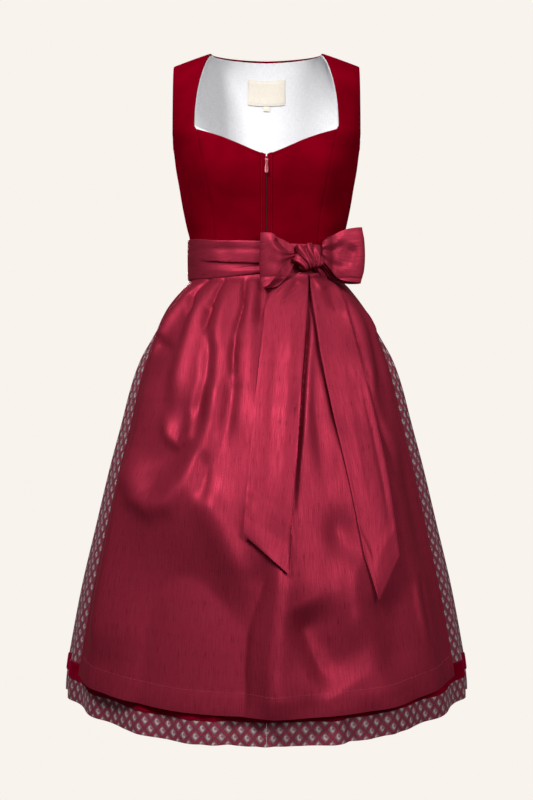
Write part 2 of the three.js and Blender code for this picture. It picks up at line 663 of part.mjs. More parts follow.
/** The knot: a tilted lump of cloth with the wraps of the tie across it. */
function knotGeometry() {
  const geometry = new THREE.SphereGeometry(1, 18, 10);
  geometry.deleteAttribute("normal");
  geometry.deleteAttribute("uv");
  const knot = mergeVertices(geometry, 1e-5);
  const place = knot.getAttribute("position");
  const point = new THREE.Vector3();
  for (let index = 0; index < place.count; index += 1) {
    point.fromBufferAttribute(place, index);
    const turns = KNOT.wraps * Math.PI * (point.z + 0.3 * point.x);
    const wrap = 1 + (KNOT.wrapDepth / KNOT.wide) * Math.cos(turns);
    point.multiplyScalar(wrap);
    place.setXYZ(index, point.x * KNOT.wide, point.y * KNOT.deep, point.z * KNOT.tall);
  }
  return knot;
}

// ---------------------------------------------------------------- hard pieces of the zip

/** A closed geometry as a solid that can be joined and cut. */
function solid(geometry, x = 0, y = 0, z = 0) {
  const bare = geometry.clone().translate(x, y, z);
  bare.deleteAttribute("normal");
  bare.deleteAttribute("uv");
  const merged = mergeVertices(bare, 1e-5);
  return new wasm.Manifold(new wasm.Mesh({
    numProp: 3,
    vertProperties: new Float32Array(merged.getAttribute("position").array),
    triVerts: new Uint32Array(merged.getIndex().array),
  }));
}

function solidGeometry(shape) {
  const mesh = shape.getMesh();
  const geometry = new THREE.BufferGeometry();
  geometry.setAttribute("position", new THREE.Float32BufferAttribute(mesh.vertProperties, 3));
  geometry.setIndex([...mesh.triVerts]);
  return geometry;
}

const acrossCylinder = (radius, length) => (
  new THREE.CylinderGeometry(radius, radius, length, ROUND).rotateZ(Math.PI / 2)
);

/** Slider about its hinge axis: plate over the lips, stem between them, two ears and the pin. */
function sliderGeometry() {
  const plateY = PIN.out - SLIDER.out - SLIDER.thick / 2;
  const plate = solid(new THREE.BoxGeometry(SLIDER.wide, SLIDER.thick, SLIDER.tall), 0, plateY, 0);
  const stemLength = SLIDER.out - 0.5;
  const stemY = PIN.out - SLIDER.out + stemLength / 2 - 0.1;
  const stem = solid(new THREE.BoxGeometry(SLIDER.stem, stemLength + 0.2, SLIDER.tall - 2), 0, stemY, 0);
  const earReach = PIN.out - SLIDER.out - SLIDER.thick + SLIDER.earTall / 2 + 0.1;
  const earY = plateY - SLIDER.thick / 2 + 0.1 - earReach / 2;
  const earX = SLIDER.earInner + SLIDER.earThick / 2;
  const ear = new THREE.BoxGeometry(SLIDER.earThick, earReach, SLIDER.earTall);
  const pin = solid(acrossCylinder(PIN.radius, 2 * earX));
  const ears = solid(ear, earX, earY, 0).add(solid(ear, -earX, earY, 0));
  return solidGeometry(plate.add(stem).add(ears).add(pin));
}

/** Pull tab about its hinge axis: a barrel on the pin and a drop-shaped plate that hangs from it. */
function pullGeometry() {
  const outline = new THREE.Shape();
  const bellyZ = -(PULL.length - PULL.belly);
  outline.moveTo(-PULL.neck, 0);
  outline.lineTo(-PULL.neck, -3);
  outline.quadraticCurveTo(-PULL.neck, bellyZ * 0.6, -PULL.belly, bellyZ);
  outline.absarc(0, bellyZ, PULL.belly, Math.PI, 2 * Math.PI, false);
  outline.quadraticCurveTo(PULL.neck, bellyZ * 0.6, PULL.neck, -3);
  outline.lineTo(PULL.neck, 0);
  const settings = { depth: PULL.thick, bevelEnabled: false, curveSegments: 8 };
  const plate = new THREE.ExtrudeGeometry(outline, settings);
  plate.translate(0, 0, -PULL.thick / 2).rotateX(Math.PI / 2);
  const barrel = solid(acrossCylinder(PULL.barrel, PULL.barrelHalf * 2));
  const bore = solid(acrossCylinder(PULL.bore, PULL.barrelHalf * 4));
  return solidGeometry(solid(plate).add(barrel).subtract(bore));
}

// ---------------------------------------------------------------- finishes

const cloth = (color, roughness) => () => (
  new THREE.MeshStandardMaterial({ color, roughness, side: THREE.DoubleSide })
);
const velvet = cloth(0x6e0010, 0.9);
const ribbonVelvet = cloth(0x7a0020, 0.85);
const satin = cloth(0x9c2f46, 0.45);
const jacquard = cloth(0x8a2040, 0.6);
const liningCotton = cloth(0xf3f3f5, 0.9);
const labelWeave = cloth(0xf7f2e8, 0.7);
const zipTape = cloth(0x3a0a10, 0.7);
const paintedMetal = () => (
  new THREE.MeshStandardMaterial({ color: 0xb8515c, roughness: 0.35, metalness: 0.6 })
);

// ---------------------------------------------------------------- the dirndl

const dirndl = new THREE.Group();

function addPiece(name, geometry, finish) {
  const mesh = new THREE.Mesh(geometry, finish());
  mesh.name = name;
  dirndl.add(mesh);
  return mesh;
}

/** Adds a panel on the right of the front view and its mirror image on the left. */
function addPair(name, grid, thickness, finish) {
  addPiece(`${name}_right`, wall(grid, thickness), finish);
  addPiece(`${name}_left`, wall(mirrored(grid), thickness), finish);
}

addPair("front_centre", frontCentreGrid(), CLOTH, velvet);
addPair("front_side", frontSideGrid(), CLOTH, velvet);
addPiece("back_centre", wall(backCentreGrid()), velvet);
addPair("back_side", backSideGrid(), CLOTH, velvet);

addPair("lining_front", moved(liningFrontGrid(), -LINING.depth), LINING.cloth, liningCotton);
addPiece("lining_back", wall(moved(liningBackGrid(), -LINING.depth), LINING.cloth), liningCotton);
const insideLining = LINING.depth + LINING.cloth + LABEL_LIFT;
addPiece("label", wall(moved(backPatchGrid(LABEL, 8), -insideLining), LABEL.cloth), labelWeave);
addPiece("size_tab", wall(moved(backPatchGrid(SIZE_TAB, 2), -insideLining), SIZE_TAB.cloth), labelWeave);

const lipGrid = frontStripGrid(ZIP.lipInner, ZIP.lipOuter, (x) => necklineAt(x) - 1, 2);
addPair("zip_lip", moved(lipGrid, SEAM_GAP + CLOTH), CLOTH, velvet);
const tapeHalf = ZIP.half - SEAM_GAP;
addPiece("zip_chain", wall(frontStripGrid(-tapeHalf, tapeHalf, () => NECKLINE.pointZ - 4, 2)), zipTape);

const sliderFace = bodicePoint(0, ZIP.sliderZ);
const slider = addPiece("zip_slider", sliderGeometry(), paintedMetal);
slider.position.set(0, sliderFace.y - PIN.out, ZIP.sliderZ);
const pull = addPiece("zip_pull", pullGeometry(), paintedMetal);
pull.position.copy(slider.position);

const frontLeft = [-SIDE_SEAM, 0];
const frontRight = [0, SIDE_SEAM];
const wholeFront = [-SIDE_SEAM, SIDE_SEAM];
const wholeBack = [SIDE_SEAM, 360 - SIDE_SEAM];
addPiece("skirt_front_left", skirtWall(...frontLeft, SKIRT_LEVELS, -SKIRT_CLOTH, SKIRT_CLOTH), jacquard);
addPiece("skirt_front_right", skirtWall(...frontRight, SKIRT_LEVELS, -SKIRT_CLOTH, SKIRT_CLOTH), jacquard);
addPiece("skirt_back", skirtWall(...wholeBack, SKIRT_LEVELS, -SKIRT_CLOTH, SKIRT_CLOTH), jacquard);
addPiece("ribbon_front", skirtWall(...wholeFront, RIBBON_LEVELS, SEAM_GAP, CLOTH), ribbonVelvet);
addPiece("ribbon_back", skirtWall(...wholeBack, RIBBON_LEVELS, SEAM_GAP, CLOTH), ribbonVelvet);

addPiece("apron", wallBetween(apronGrid(0), apronGrid(CLOTH)), satin);
const bandRing = { half: 125.2, front: 91, back: 76, power: 2.3 };
const waistbandRing = {
  ...bandRing, half: bandRing.half + WAISTBAND.out, front: bandRing.front + WAISTBAND.out,
};
waistbandRing.back = bandRing.back + WAISTBAND.out;
const waistbandGrid = bandGrid(-WAISTBAND.reach, WAISTBAND.reach, 28, 1, waistbandRing, () => WAISTBAND);
addPiece("apron_waistband", wall(waistbandGrid), satin);

const longEdge = (angle) => rowAt(SASH_EDGE, "angle", angle);
addPiece("sash_long", wall(bandGrid(-275, 26, 44, 2, SASH, longEdge)), satin);
const shortEdge = (angle) => rowAt(SHORT_TIE_EDGE, "angle", angle);
addPiece("sash_short", wall(bandGrid(41, 84.5, 8, 2, SASH, shortEdge)), satin);

const knot = addPiece("bow_knot", knotGeometry(), satin);
knot.position.copy(knotSeat);
knot.rotation.set(0, KNOT.tilt, KNOT.turn);
addPiece("bow_loop_left", wall(loopGrid(LOOPS.left)), satin);
addPiece("bow_loop_right", wall(loopGrid(LOOPS.right)), satin);
addPiece("tail_left", wall(tailGrid(TAILS.left, TAIL_TIPS.left)), satin);
addPiece("tail_right", wall(tailGrid(TAILS.right, TAIL_TIPS.right)), satin);

export default dirndl;
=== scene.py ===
"""Dirndl, sewn piece by piece: velvet bodice, gathered jacquard skirt, pleated satin apron, sash and bow.

Sizes are in millimetres in the tables and in metres in the meshes. The front looks along -Y and up is +Z.
"""

from __future__ import annotations

import logging
import math
from collections.abc import Callable, Sequence
from dataclasses import dataclass, field
from enum import Enum
from types import SimpleNamespace

import bpy
import numpy as np
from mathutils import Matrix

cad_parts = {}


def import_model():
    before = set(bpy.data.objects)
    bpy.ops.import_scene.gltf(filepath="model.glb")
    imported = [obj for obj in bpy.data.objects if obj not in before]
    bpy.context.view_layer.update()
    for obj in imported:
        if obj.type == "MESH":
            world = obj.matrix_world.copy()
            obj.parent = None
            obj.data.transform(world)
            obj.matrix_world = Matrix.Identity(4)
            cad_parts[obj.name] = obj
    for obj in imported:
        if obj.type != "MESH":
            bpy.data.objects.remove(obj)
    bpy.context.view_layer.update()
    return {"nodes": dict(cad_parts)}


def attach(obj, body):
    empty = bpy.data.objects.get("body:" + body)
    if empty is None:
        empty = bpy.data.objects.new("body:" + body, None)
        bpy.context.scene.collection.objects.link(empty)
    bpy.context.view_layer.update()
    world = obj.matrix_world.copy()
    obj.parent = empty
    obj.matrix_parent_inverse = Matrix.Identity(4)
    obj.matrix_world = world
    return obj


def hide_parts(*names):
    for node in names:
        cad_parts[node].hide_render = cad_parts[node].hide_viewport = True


LOG = logging.getLogger("dirndl")
Grid = np.ndarray
GridPair = tuple[np.ndarray, np.ndarray]
Place = tuple[float, float, float]
Piece = bpy.types.Object
Material = bpy.types.Material
Socket = bpy.types.NodeSocket
GARMENT = "garment"
PULL_TAB = "pull_tab"
METRE = 0.001  # metres in a millimetre


# ---------------------------------------------------------------- numbers and tables


def mix(start: Grid | float, end: Grid | float, share: Grid | float) -> Grid | float:
    """The value this share of the way from start to end."""
    return start + (end - start) * share


def smooth(value: Grid | float) -> Grid | float:
    """Rises softly from 0 to 1 as the value does."""
    held = np.clip(value, 0.0, 1.0)
    return held * held * (3.0 - 2.0 * held)


def bell(value: Grid, width: Grid | float) -> Grid:
    """A soft bump, 1 where the value is 0 and almost nothing two widths away."""
    return np.exp(-((value / width) ** 2))


def signed_power(value: Grid, power: Grid | float) -> Grid:
    """A power that keeps the sign of its value."""
    return np.sign(value) * np.abs(value) ** power


def softened_max(values: Sequence[Grid], sharpness: float = 1.2) -> Grid:
    """The largest of several grids, with no corner where one takes over from the other."""
    stack = np.stack(values)
    top = stack.max(axis=0)
    return top + np.log(np.exp(sharpness * (stack - top)).mean(axis=0)) / sharpness


class Table:
    """Rows of sizes under named columns, carried smoothly from row to row by the first column."""

    def __init__(self, columns: str, rows: Sequence[Sequence[float]]) -> None:
        """Sorts the rows by their key and works out how steeply each column passes through each row."""
        self.names = columns.split()[1:]
        data = np.array(sorted(rows, key=lambda row: row[0]), float)
        self.keys, self.values = data[:, 0], data[:, 1:]
        before = np.maximum(np.arange(len(data)) - 1, 0)
        after = np.minimum(np.arange(len(data)) + 1, len(data) - 1)
        spans = (self.keys[after] - self.keys[before])[:, None]
        self.slopes = (self.values[after] - self.values[before]) / spans

    def at(self, key: Grid | float) -> SimpleNamespace:
        """Every column at one value of the key, or at a grid of them.

        Args:
            key: where in the table.
        Returns:
            The columns by name, each of the key's own shape.
        """
        held = np.clip(key, self.keys[0], self.keys[-1])
        low = np.clip(np.searchsorted(self.keys, held, side="right") - 1, 0, len(self.keys) - 2)
        span = self.keys[low + 1] - self.keys[low]
        share = (held - self.keys[low]) / span
        result = {}
        for column, name in enumerate(self.names):
            start, end = self.values[low, column], self.values[low + 1, column]
            out, into = self.slopes[low, column] * span, self.slopes[low + 1, column] * span
            bend = 3 * (end - start) - 2 * out - into
            result[name] = start + share * (out + share * (bend + share * (2 * (start - end) + out + into)))
        return SimpleNamespace(**result)


# ---------------------------------------------------------------- the cut of the dress, in mm

SEAM_GAP = 0.3
CLOSED_SEAM = 0.02  # the back seams are drawn up tight, so that no lining shows through them
CLOTH = 1.2
SKIRT_CLOTH = 1.5

BODICE = Table("z half front back power", [
    (-112, 162, 98, 91, 2.6), (-140, 162, 112, 92, 2.6), (-165, 156, 119, 92, 2.55), (-200, 151, 122, 90, 2.5),
    (-230, 145.5, 117, 87, 2.45), (-260, 140.5, 108, 83, 2.4), (-295, 133.5, 98, 79, 2.35),
    (-312, 129.3, 94.5, 77, 2.3), (-335, 126, 91.5, 76, 2.3), (-360, 125, 91, 76, 2.3)])
BUST = SimpleNamespace(x=86.0, z=-214.0, wide=36.0, tall=42.0, depth=5.0)
WAIST_Z = -360.0
UNDERARM_Z = -165.0
STRAP = SimpleNamespace(front_base=-140.0, back_base=-112.0, ridge_y=5.0, inner_x=93.0, outer_x=156.0,
                        outer_top=-22.0)
STRAP_BASE = SimpleNamespace(inner_x=117.0, outer_x=155.0)
STRAP_CROWN = 1.3
NECKLINE = SimpleNamespace(point=-192.0, corner=-147.0, sag=-5.0, back_depth=61.0, back_top=3.0, side_bulge=1.0)
NECK_SHARE = 0.62
ZIP = SimpleNamespace(half=2.2, lip_inner=1.0, lip_outer=8.9, bottom=-329.0, slider=-204.0)
FRONT_SEAM = Table("z x", [(-360, 84), (-300, 85), (-250, 93), (-200, 103), (-147, 113)])
BACK_SEAM = Table("z x", [(-360, 52), (-300, 56), (-240, 70), (-180, 96), (-145, 121), (-112, 155)])
SEAM_CORNER_X = 113.0
ARMHOLE = Table("share z angle", [(0, -165, 90), (1 / 3, -160, 80), (2 / 3, -151, 74.5), (1, -140, 70.8)])
BACK_SAG = 10.0
PANEL_COLUMNS = 34
BACK_BEND = 0.58
LINING = SimpleNamespace(cloth=0.8, depth=3.4, edge=3.0, reach=0.975, seam_gaps=4.0, label_lift=0.9)

SKIRT = Table("z half front back power wave", [
    (-360, 124.5, 90.5, 75.5, 2.3, 0.5), (-386, 126, 92, 78, 2.3, 0.9), (-396, 133.5, 98, 86, 2.3, 2),
    (-420, 151, 114, 106, 2.25, 3), (-450, 170, 132, 128, 2.2, 4), (-482, 188.5, 151, 148, 2.15, 4.6),
    (-515, 206.5, 169, 166, 2.1, 5.2), (-560, 222.5, 189, 184, 2.05, 5.6), (-620, 238, 209, 204, 2, 6),
    (-700, 259, 232, 227, 2, 6.6), (-800, 282, 257, 252, 2, 7.2), (-900, 304, 281, 276, 2, 7.8),
    (-1010, 323.5, 304, 299, 2, 8.3), (-1042, 328, 309.5, 304.5, 2, 8.4), (-1080, 331.5, 315, 310, 2, 8.5)])
HEM_Z = -1080.0
HEM_RADIUS = 331.5
FLARES = 20
SIDE_SEAM = 99.0
HEM_LIFT = Table("angle lift", [
    (0, -2), (20, -2), (30, 0.5), (44, 7), (52, 10.5), (60, 16), (68, 19), (76, 19), (84, 17), (92, 12),
    (120, 2), (180, 0)])
LIFT_FROM = -700.0
RIBBON = SimpleNamespace(bottom=-1046.0, top=-1018.0, radius=331.0)
CLOTH_WIDTH = 322.0  # mm of skirt cloth for one radian round the hem

# Small gathers under the waist: how deep they are at each height.
GATHERS = Table("z depth", [
    (-360, 0.3), (-386, 0.7), (-400, 1.8), (-440, 2.8), (-520, 2.6), (-620, 1.9), (-760, 1.2), (-900, 0.8),
    (-1080, 0.5)])

APRON = Table("z edge gap ease", [
    (-378.3, 98, 1, 0.4), (-390, 97.5, 1, 1), (-420, 91, 1.6, 4), (-450, 79, 1.9, 4), (-482, 68, 2.2, 4),
    (-520, 63, 2.4, 4), (-620, 61.2, 3, 3), (-800, 60.8, 3, 2), (-1036, 60, 3, 1)])
APRON_TOP = -378.3
APRON_HEM = -1036.0
APRON_CORNER = SimpleNamespace(rise=9.0, start=-700.0)
# The apron stands a little off the skirt, so that its troughs stay clear of it.
APRON_STAND = Table("z lift", [
    (-378.3, 0), (-384, 1.2), (-396, 5.0), (-430, 7.0), (-480, 9), (-560, 11), (-700, 14), (-860, 15),
    (-980, 12), (-1036, 8)])

WAISTBAND = SimpleNamespace(bottom=-378.0, top=-331.0, out=3.2, reach=98.0)
BAND_RING = SimpleNamespace(half=125.2, front=91.0, back=76.0, power=2.3)
SASH_RING = SimpleNamespace(half=131.3, front=97.0, back=81.0, power=2.3)
SASH_EDGE = Table("angle bottom top", [
    (-275, -381, -315), (-180, -382, -316), (-100, -382, -315), (-60, -385, -319), (-30, -385, -325),
    (-5, -379, -327), (12, -371, -332), (26, -366, -343)])
SASH_BOTTOM = -385.0  # what lies over the dress rests on the sash above this, and on the apron below
SHORT_EDGE = Table("angle bottom top", [(41, -368, -344), (55, -378, -330), (84.5, -382, -316)])

# Folds of the bunched tie beside the knot, point by point: x, height, distance out of the front, radius.
KNOT_FOLDS = (
    ((84, -348, 13, 2), (94, -357, 13, 5.5), (103, -368, 11, 5), (110, -378, 8, 2)),
    ((83, -358, 12, 2), (92, -367, 12, 5), (101, -378, 10, 5.2), (106, -388, 7, 2)),
    ((80, -368, 11, 2), (86, -376, 12, 4.6), (93, -386, 10, 5), (97, -396, 7, 2)))
KNOT = SimpleNamespace(x=68.0, z=-358.0, wide=21.0, tall=20.0, deep=13.0, seat=13.6, tilt=-0.3, turn=0.2)
LOOP_LEFT = SimpleNamespace(start=49.0, end=-10.5, tip_top=-318.0, tip_bottom=-408.0, bow_top=-1.0,
                            bow_bottom=-6.5, deep=17.0)
LOOP_RIGHT = SimpleNamespace(start=84.2, end=158.0, tip_top=-303.0, tip_bottom=-396.0, bow_top=-3.5,
                             bow_bottom=-6.0, deep=16.0)
LOOP_LEFT_OUTLINE = Table("along front_top front_bottom back_top back_bottom", [
    (0, -343, -352, -339, -357), (0.25, -345.5, -360.5, -330, -381), (0.5, -332, -375, -323.5, -397),
    (0.63, -320, -384, -319.5, -402), (0.85, -316.5, -400, -316.5, -404.5), (1, -316, -405, -316, -405)])
LOOP_RIGHT_OUTLINE = Table("along front_top front_bottom back_top back_bottom", [
    (0, -339, -351, -338, -357), (0.15, -326, -365, -324, -370), (0.4, -315, -383, -313, -387),
    (0.6, -308.5, -391, -307.5, -393.5), (0.9, -304.5, -394, -304, -395), (1, -304, -394, -304, -394)])
TAIL_LEFT = Table("z left right", [
    (-378.4, 53, 67.6), (-400, 22, 67), (-425, 1, 65), (-470, -5, 61), (-560, -15, 53), (-650, -24, 46),
    (-778, -34, 35)])
TAIL_RIGHT = Table("z left right", [
    (-378.4, 68.6, 84), (-400, 71, 116), (-440, 76, 127), (-510, 84, 144), (-600, 101, 165), (-690, 121, 183),
    (-815, 146, 199)])
# The point of each tail, how far its right edge leans off the apron in mm, and its flat size in metres.
TAIL_TIP_LEFT = SimpleNamespace(x=32.0, z=-833.0, lean=7.5, flat=(0.072, 0.515))
TAIL_TIP_RIGHT = SimpleNamespace(x=165.0, z=-879.0, lean=18.0, flat=(0.072, 0.555))
TAIL_LIFT = SimpleNamespace(top=7.6, flat=1.6, drop=14.0)

LABEL = SimpleNamespace(half=32.5, top=-28.0, bottom=-70.0, cloth=0.6)
SIZE_TAB = SimpleNamespace(half=6.0, top=-70.6, bottom=-79.0, cloth=0.6)


# ---------------------------------------------------------------- folds placed one by one


@dataclass(frozen=True)
class Fold:
    """A soft ridge along a line over the cloth, or a trough where its depth is under zero, in mm."""

    depth: float
    left: float
    right: float
    line: tuple[tuple[float, float], ...]
    point: float = 2.0
    rise: float = 0.3
    fall: float = 0.4

    def over(self, across: Grid, up: Grid) -> Grid:
        """How far the fold lifts each point of the cloth.

        Args:
            across: place of each point to the side.
            up: height of each point.
        Returns:
            The lift, of the same shape.
        """
        spots = np.array(self.line, float)
        starts, steps = spots[:-1], np.diff(spots, axis=0)
        lengths = np.hypot(steps[:, 0], steps[:, 1])
        passed = np.concatenate([[0.0], np.cumsum(lengths)[:-1]])
        nearest = np.full(across.shape, np.inf)
        along, side = np.zeros(across.shape), np.zeros(across.shape)
        for start, step, length, before in zip(starts, steps, lengths, passed, strict=True):
            x, z = across - start[0], up - start[1]
            share = np.clip((x * step[0] + z * step[1]) / length**2, 0, 1)
            far = np.hypot(x - share * step[0], z - share * step[1])
            closer = far < nearest
            nearest = np.where(closer, far, nearest)
            along = np.where(closer, before + share * length, along)
            side = np.where(closer, step[0] * z - step[1] * x, side)
        along = along / lengths.sum()
        beyond = smooth(0.5 + side / 12.0) if self.point > 1.5 else (side > 0).astype(float)
        width = mix(self.left, self.right, beyond)
        ends = smooth(along / self.rise + 0.15) * smooth((1 - along) / self.fall + 0.1)
        return self.depth * ends * np.exp(-((nearest / width) ** self.point))


@dataclass(frozen=True)
class Swell:
    """A broad soft swelling of the cloth, or a hollow where its depth is under zero, in mm."""

    depth: float
    across: float
    up: float
    wide: float
    tall: float
    lean: float = 0.0

    def over(self, across: Grid, up: Grid) -> Grid:
        """How far the swelling lifts each point of the cloth, which lies across and up like this."""
        turn = math.radians(self.lean)
        x, z = across - self.across, up - self.up
        long, short = x * math.cos(turn) + z * math.sin(turn), z * math.cos(turn) - x * math.sin(turn)
        return self.depth * np.exp(-((long / self.wide) ** 2) - (short / self.tall) ** 2)


Form = Fold | Swell


def lifted(forms: Sequence[Form], across: Grid, up: Grid) -> Grid:
    """The sum of folds and swellings at each point of a cloth."""
    total = np.zeros(np.broadcast(across, up).shape)
    for form in forms:
        total = total + form.over(np.broadcast_to(across, total.shape), np.broadcast_to(up, total.shape))
    return total


# Pleats, creases and broad shapes of the apron, by place across and height.
APRON_FORMS: tuple[Form, ...] = (
    # The first pleat and the lobe of cloth beside it.
    Fold(-7.5, 2.6, 5.5, ((-94, -386), (-112, -402), (-121, -414), (-122, -430)), 1.2, 0.1, 0.5),
    Fold(-8.0, 3, 6, ((-121, -408), (-122, -434), (-124, -452)), 2.0, 0.3, 0.5),
    Fold(-3.5, 12, 14, ((-124, -440), (-133, -490), (-148, -560), (-158, -640)), 2.0, 0.3, 0.5),
    Fold(3.0, 14, 9, ((-120, -392), (-150, -434), (-167, -482)), 2.0, 0.3, 0.12),
    Fold(-6.0, 9, 12, ((-176, -492), (-160, -500), (-140, -504)), 2.0, 0.3, 0.5),
    # The second pleat, its spindle and the long soft trough that runs down from it.
    Fold(-7.5, 2.6, 5.5, ((-70, -386), (-80, -409), (-90, -439), (-94, -458)), 1.2, 0.1, 0.3),
    Fold(-8.0, 4, 7, ((-89, -432), (-94, -458), (-97, -480)), 2.0, 0.3, 0.5),
    Fold(-10.0, 9, 13, ((-88, -470), (-86, -500), (-88, -550), (-99, -595), (-104, -650))),
    # The third pleat, its spindle and its trough.
    Fold(-7.5, 3.4, 5.5, ((-36, -386), (-37, -435), (-45, -466), (-50, -490)), 1.5, 0.1, 0.3),
    Fold(-8.0, 4.5, 6.5, ((-47, -478), (-51, -510), (-50, -556)), 2.0, 0.3, 0.5),
    Fold(-7.0, 9, 11, ((-50, -540), (-55, -600), (-63, -660)), 2.0, 0.3, 0.5),
    # The pleats behind the bow and on the right.
    Fold(-14.0, 8, 7, ((-3, -386), (-6, -429), (-13, -475)), 1.6, 0.1, 0.5),
    Fold(-11.0, 4, 5, ((67, -384), (66, -430), (63, -490), (56, -560), (42, -680), (34, -770)), 1.7, 0.1, 0.4),
    Fold(-11.0, 6, 3.5, ((68, -384), (76, -430), (86, -510), (101, -600), (122, -690), (146, -800)),
         1.7, 0.1, 0.6),
    Fold(-14.0, 4, 7, ((114, -388), (123, -433), (132, -465), (148, -536), (162, -582)), 1.5, 0.1, 0.5),
    Fold(-13.0, 6, 9, ((148, -520), (164, -588), (180, -640), (194, -700)), 1.7, 0.3, 0.5),
    Fold(-7.0, 12, 12, ((160, -470), (178, -540), (196, -640)), 2.0, 0.4, 0.5),
    Fold(-6.0, 3, 8, ((128, -386), (146, -420), (162, -450)), 1.5, 0.1, 0.5),
    Fold(3.0, 10, 14, ((150, -420), (176, -480), (197, -540), (214, -610)), 2.0, 0.3, 0.5),
    # The swag on the left: a light U with a hollow inside, and a second one above it.
    Fold(11.0, 19, 20, ((-196, -655), (-193, -700), (-182, -730), (-163, -742), (-139, -735), (-113, -704),
                       (-91, -655), (-74, -590), (-63, -520)), 2.0, 0.2, 0.35),
    Swell(-7.0, -142, -672, 34, 18, 38),
    Fold(4.5, 9, 9, ((-153, -600), (-143, -636), (-128, -650), (-111, -638), (-101, -600)), 2.0, 0.35, 0.35),
    Swell(-4.0, -124, -612, 13, 28, -8),
    Fold(-5.0, 9, 9, ((-86, -655), (-87, -695), (-86, -738)), 2.0, 0.4, 0.4),
    # The cloth bellies out at the swag, and falls back in a broad hollow under it.
    Swell(12.0, -118, -746, 92, 64),
    Swell(-36.0, -118, -950, 72, 130),
    Swell(-12.0, -78, -985, 40, 80, 25),
    Fold(9.0, 18, 60, ((-262, -640), (-264, -760), (-258, -870), (-244, -990)), 2.0, 0.3, 0.2),
    # The bright slope and the crisp diagonal crease from the tip of the left tail to the hem.
    Fold(11.0, 26, 18, ((-92, -700), (-66, -760), (-42, -828), (-34, -880))),
    Fold(-14.0, 36, 10, ((6, -806), (-8, -859), (-28, -918), (-37, -965), (-40, -1040)), 1.5, 0.25, 0.15),
    Fold(11.0, 14, 24, ((26, -790), (14, -900), (6, -968), (9, -1040)), 2.0, 0.3, 0.15),
    # The hollow on the right of it, with its curved left border, and the softer folds beside it.
    Swell(6.0, 70, -850, 50, 40),
    Fold(-19.0, 18, 38, ((42, -880), (64, -935), (84, -972), (100, -1004)), 2.0, 0.35, 0.35),
    Swell(-9.0, 106, -780, 20, 34, 12),
    Fold(8.0, 16, 18, ((114, -800), (117, -880), (128, -950))),
    Fold(-10.0, 24, 30, ((160, -860), (172, -930), (186, -1010))),
    Fold(3.0, 5, 6, ((214, -850), (224, -915), (238, -965))),
    Fold(-2.5, 5, 6, ((226, -850), (236, -915), (250, -965))),
    Fold(2.2, 4, 4, ((262, -820), (266, -930))),
    Fold(-7.0, 12, 12, ((72, -470), (74, -600), (86, -720))),
    Fold(-5.0, 18, 18, ((206, -660), (226, -760), (240, -860))),
    Swell(2.5, 10, -1036, 12, 14),
    Swell(-4.0, 58, -1030, 20, 22),
    Swell(-3.0, -176, -1040, 26, 18),
    Swell(2.5, -215, -1040, 18, 16),
    Swell(-3.0, 150, -1036, 20, 16),
    Swell(2.5, 196, -1036, 16, 14),
)

# The main folds, which the apron has all the way down: depth, width and angles from the middle, in degrees.
APRON_FOLDS: tuple[tuple[float, float, float, float, float, float], ...] = (
    # top, bottom, start, end, depth, width
    (-82, -86, -384, -500, 5, 5), (-66, -72, -384, -540, 7, 5), (-50, -62, -384, -560, 8, 5),
    (-36, -36, -384, -600, 7, 4.5), (-21, -20, -384, -620, 7, 4.5), (-6, -6, -384, -600, 5, 4),
    (14, 12, -384, -560, 5, 4.5), (32, 28, -384, -560, 5, 4.5), (52, 46, -384, -580, 6, 5),
    (66, 60, -384, -580, 8, 4.5), (82, 78, -384, -520, 6, 5), (-52, -55, -520, -1300, 10, 9),
    (-2, 4, -560, -1300, 9, 9), (26, 31, -600, -1300, 7, 5.5), (46, 48, -600, -1300, 5, 5.5))
FOLD_FADE = 60.0

# Dips between the flares at the hem of the skirt, by place across the front.
HEM_FORMS: tuple[Form, ...] = tuple(
    Fold(depth, wide, wide, ((at, -1090), (at * 0.985, -1040), (at * 0.94, -940)), 2.0, 0.05, 0.6)
    for at, depth, wide in (
        (-250, -2, 11), (-205, -2, 10), (-96, -3.5, 10), (-76, 2, 8), (-57, -4, 9), (-15, -3.5, 8),
        (12, -4, 8), (50, 2.5, 14), (96, 2, 10), (125, -7, 9), (152, 3.5, 9), (178, -3, 8), (200, -4, 10),
        (246, -2, 10)))

# Creases of the bow's loops and tails.
LOOP_LEFT_FORMS: tuple[Form, ...] = (
    Fold(-5.0, 5, 6, ((12, -326), (20, -334), (32, -346)), 2.0, 0.3, 0.3),
    Fold(1.6, 7, 7, ((4, -322), (14, -340), (30, -352)), 2.0, 0.3, 0.3),
    Fold(-1.2, 8, 8, ((0, -362), (20, -368), (36, -362)), 2.0, 0.3, 0.3),
)
LOOP_RIGHT_FORMS: tuple[Form, ...] = (
    Fold(-4.0, 8, 10, ((128, -372), (134, -350), (142, -332)), 2.0, 0.35, 0.35),
    Fold(-1.8, 5, 7, ((96, -348), (112, -338), (126, -332))),
    Fold(1.6, 6, 8, ((96, -340), (114, -326), (134, -318))),
    Fold(-1.5, 5, 6, ((98, -362), (114, -366), (130, -372))),
)
TAIL_LEFT_FORMS: tuple[Form, ...] = (
    Fold(3.0, 4, 7, ((42, -384), (30, -400), (14, -420)), 1.6, 0.15, 0.5),
    Fold(-3.0, 4, 6, ((50, -392), (38, -412), (24, -432)), 1.8, 0.15, 0.5),
    Fold(1.5, 8, 10, ((40, -430), (34, -560), (20, -760)), 2.0, 0.3, 0.3),
    Fold(-1.2, 8, 8, ((18, -470), (8, -600), (0, -760)), 2.0, 0.3, 0.3),
)
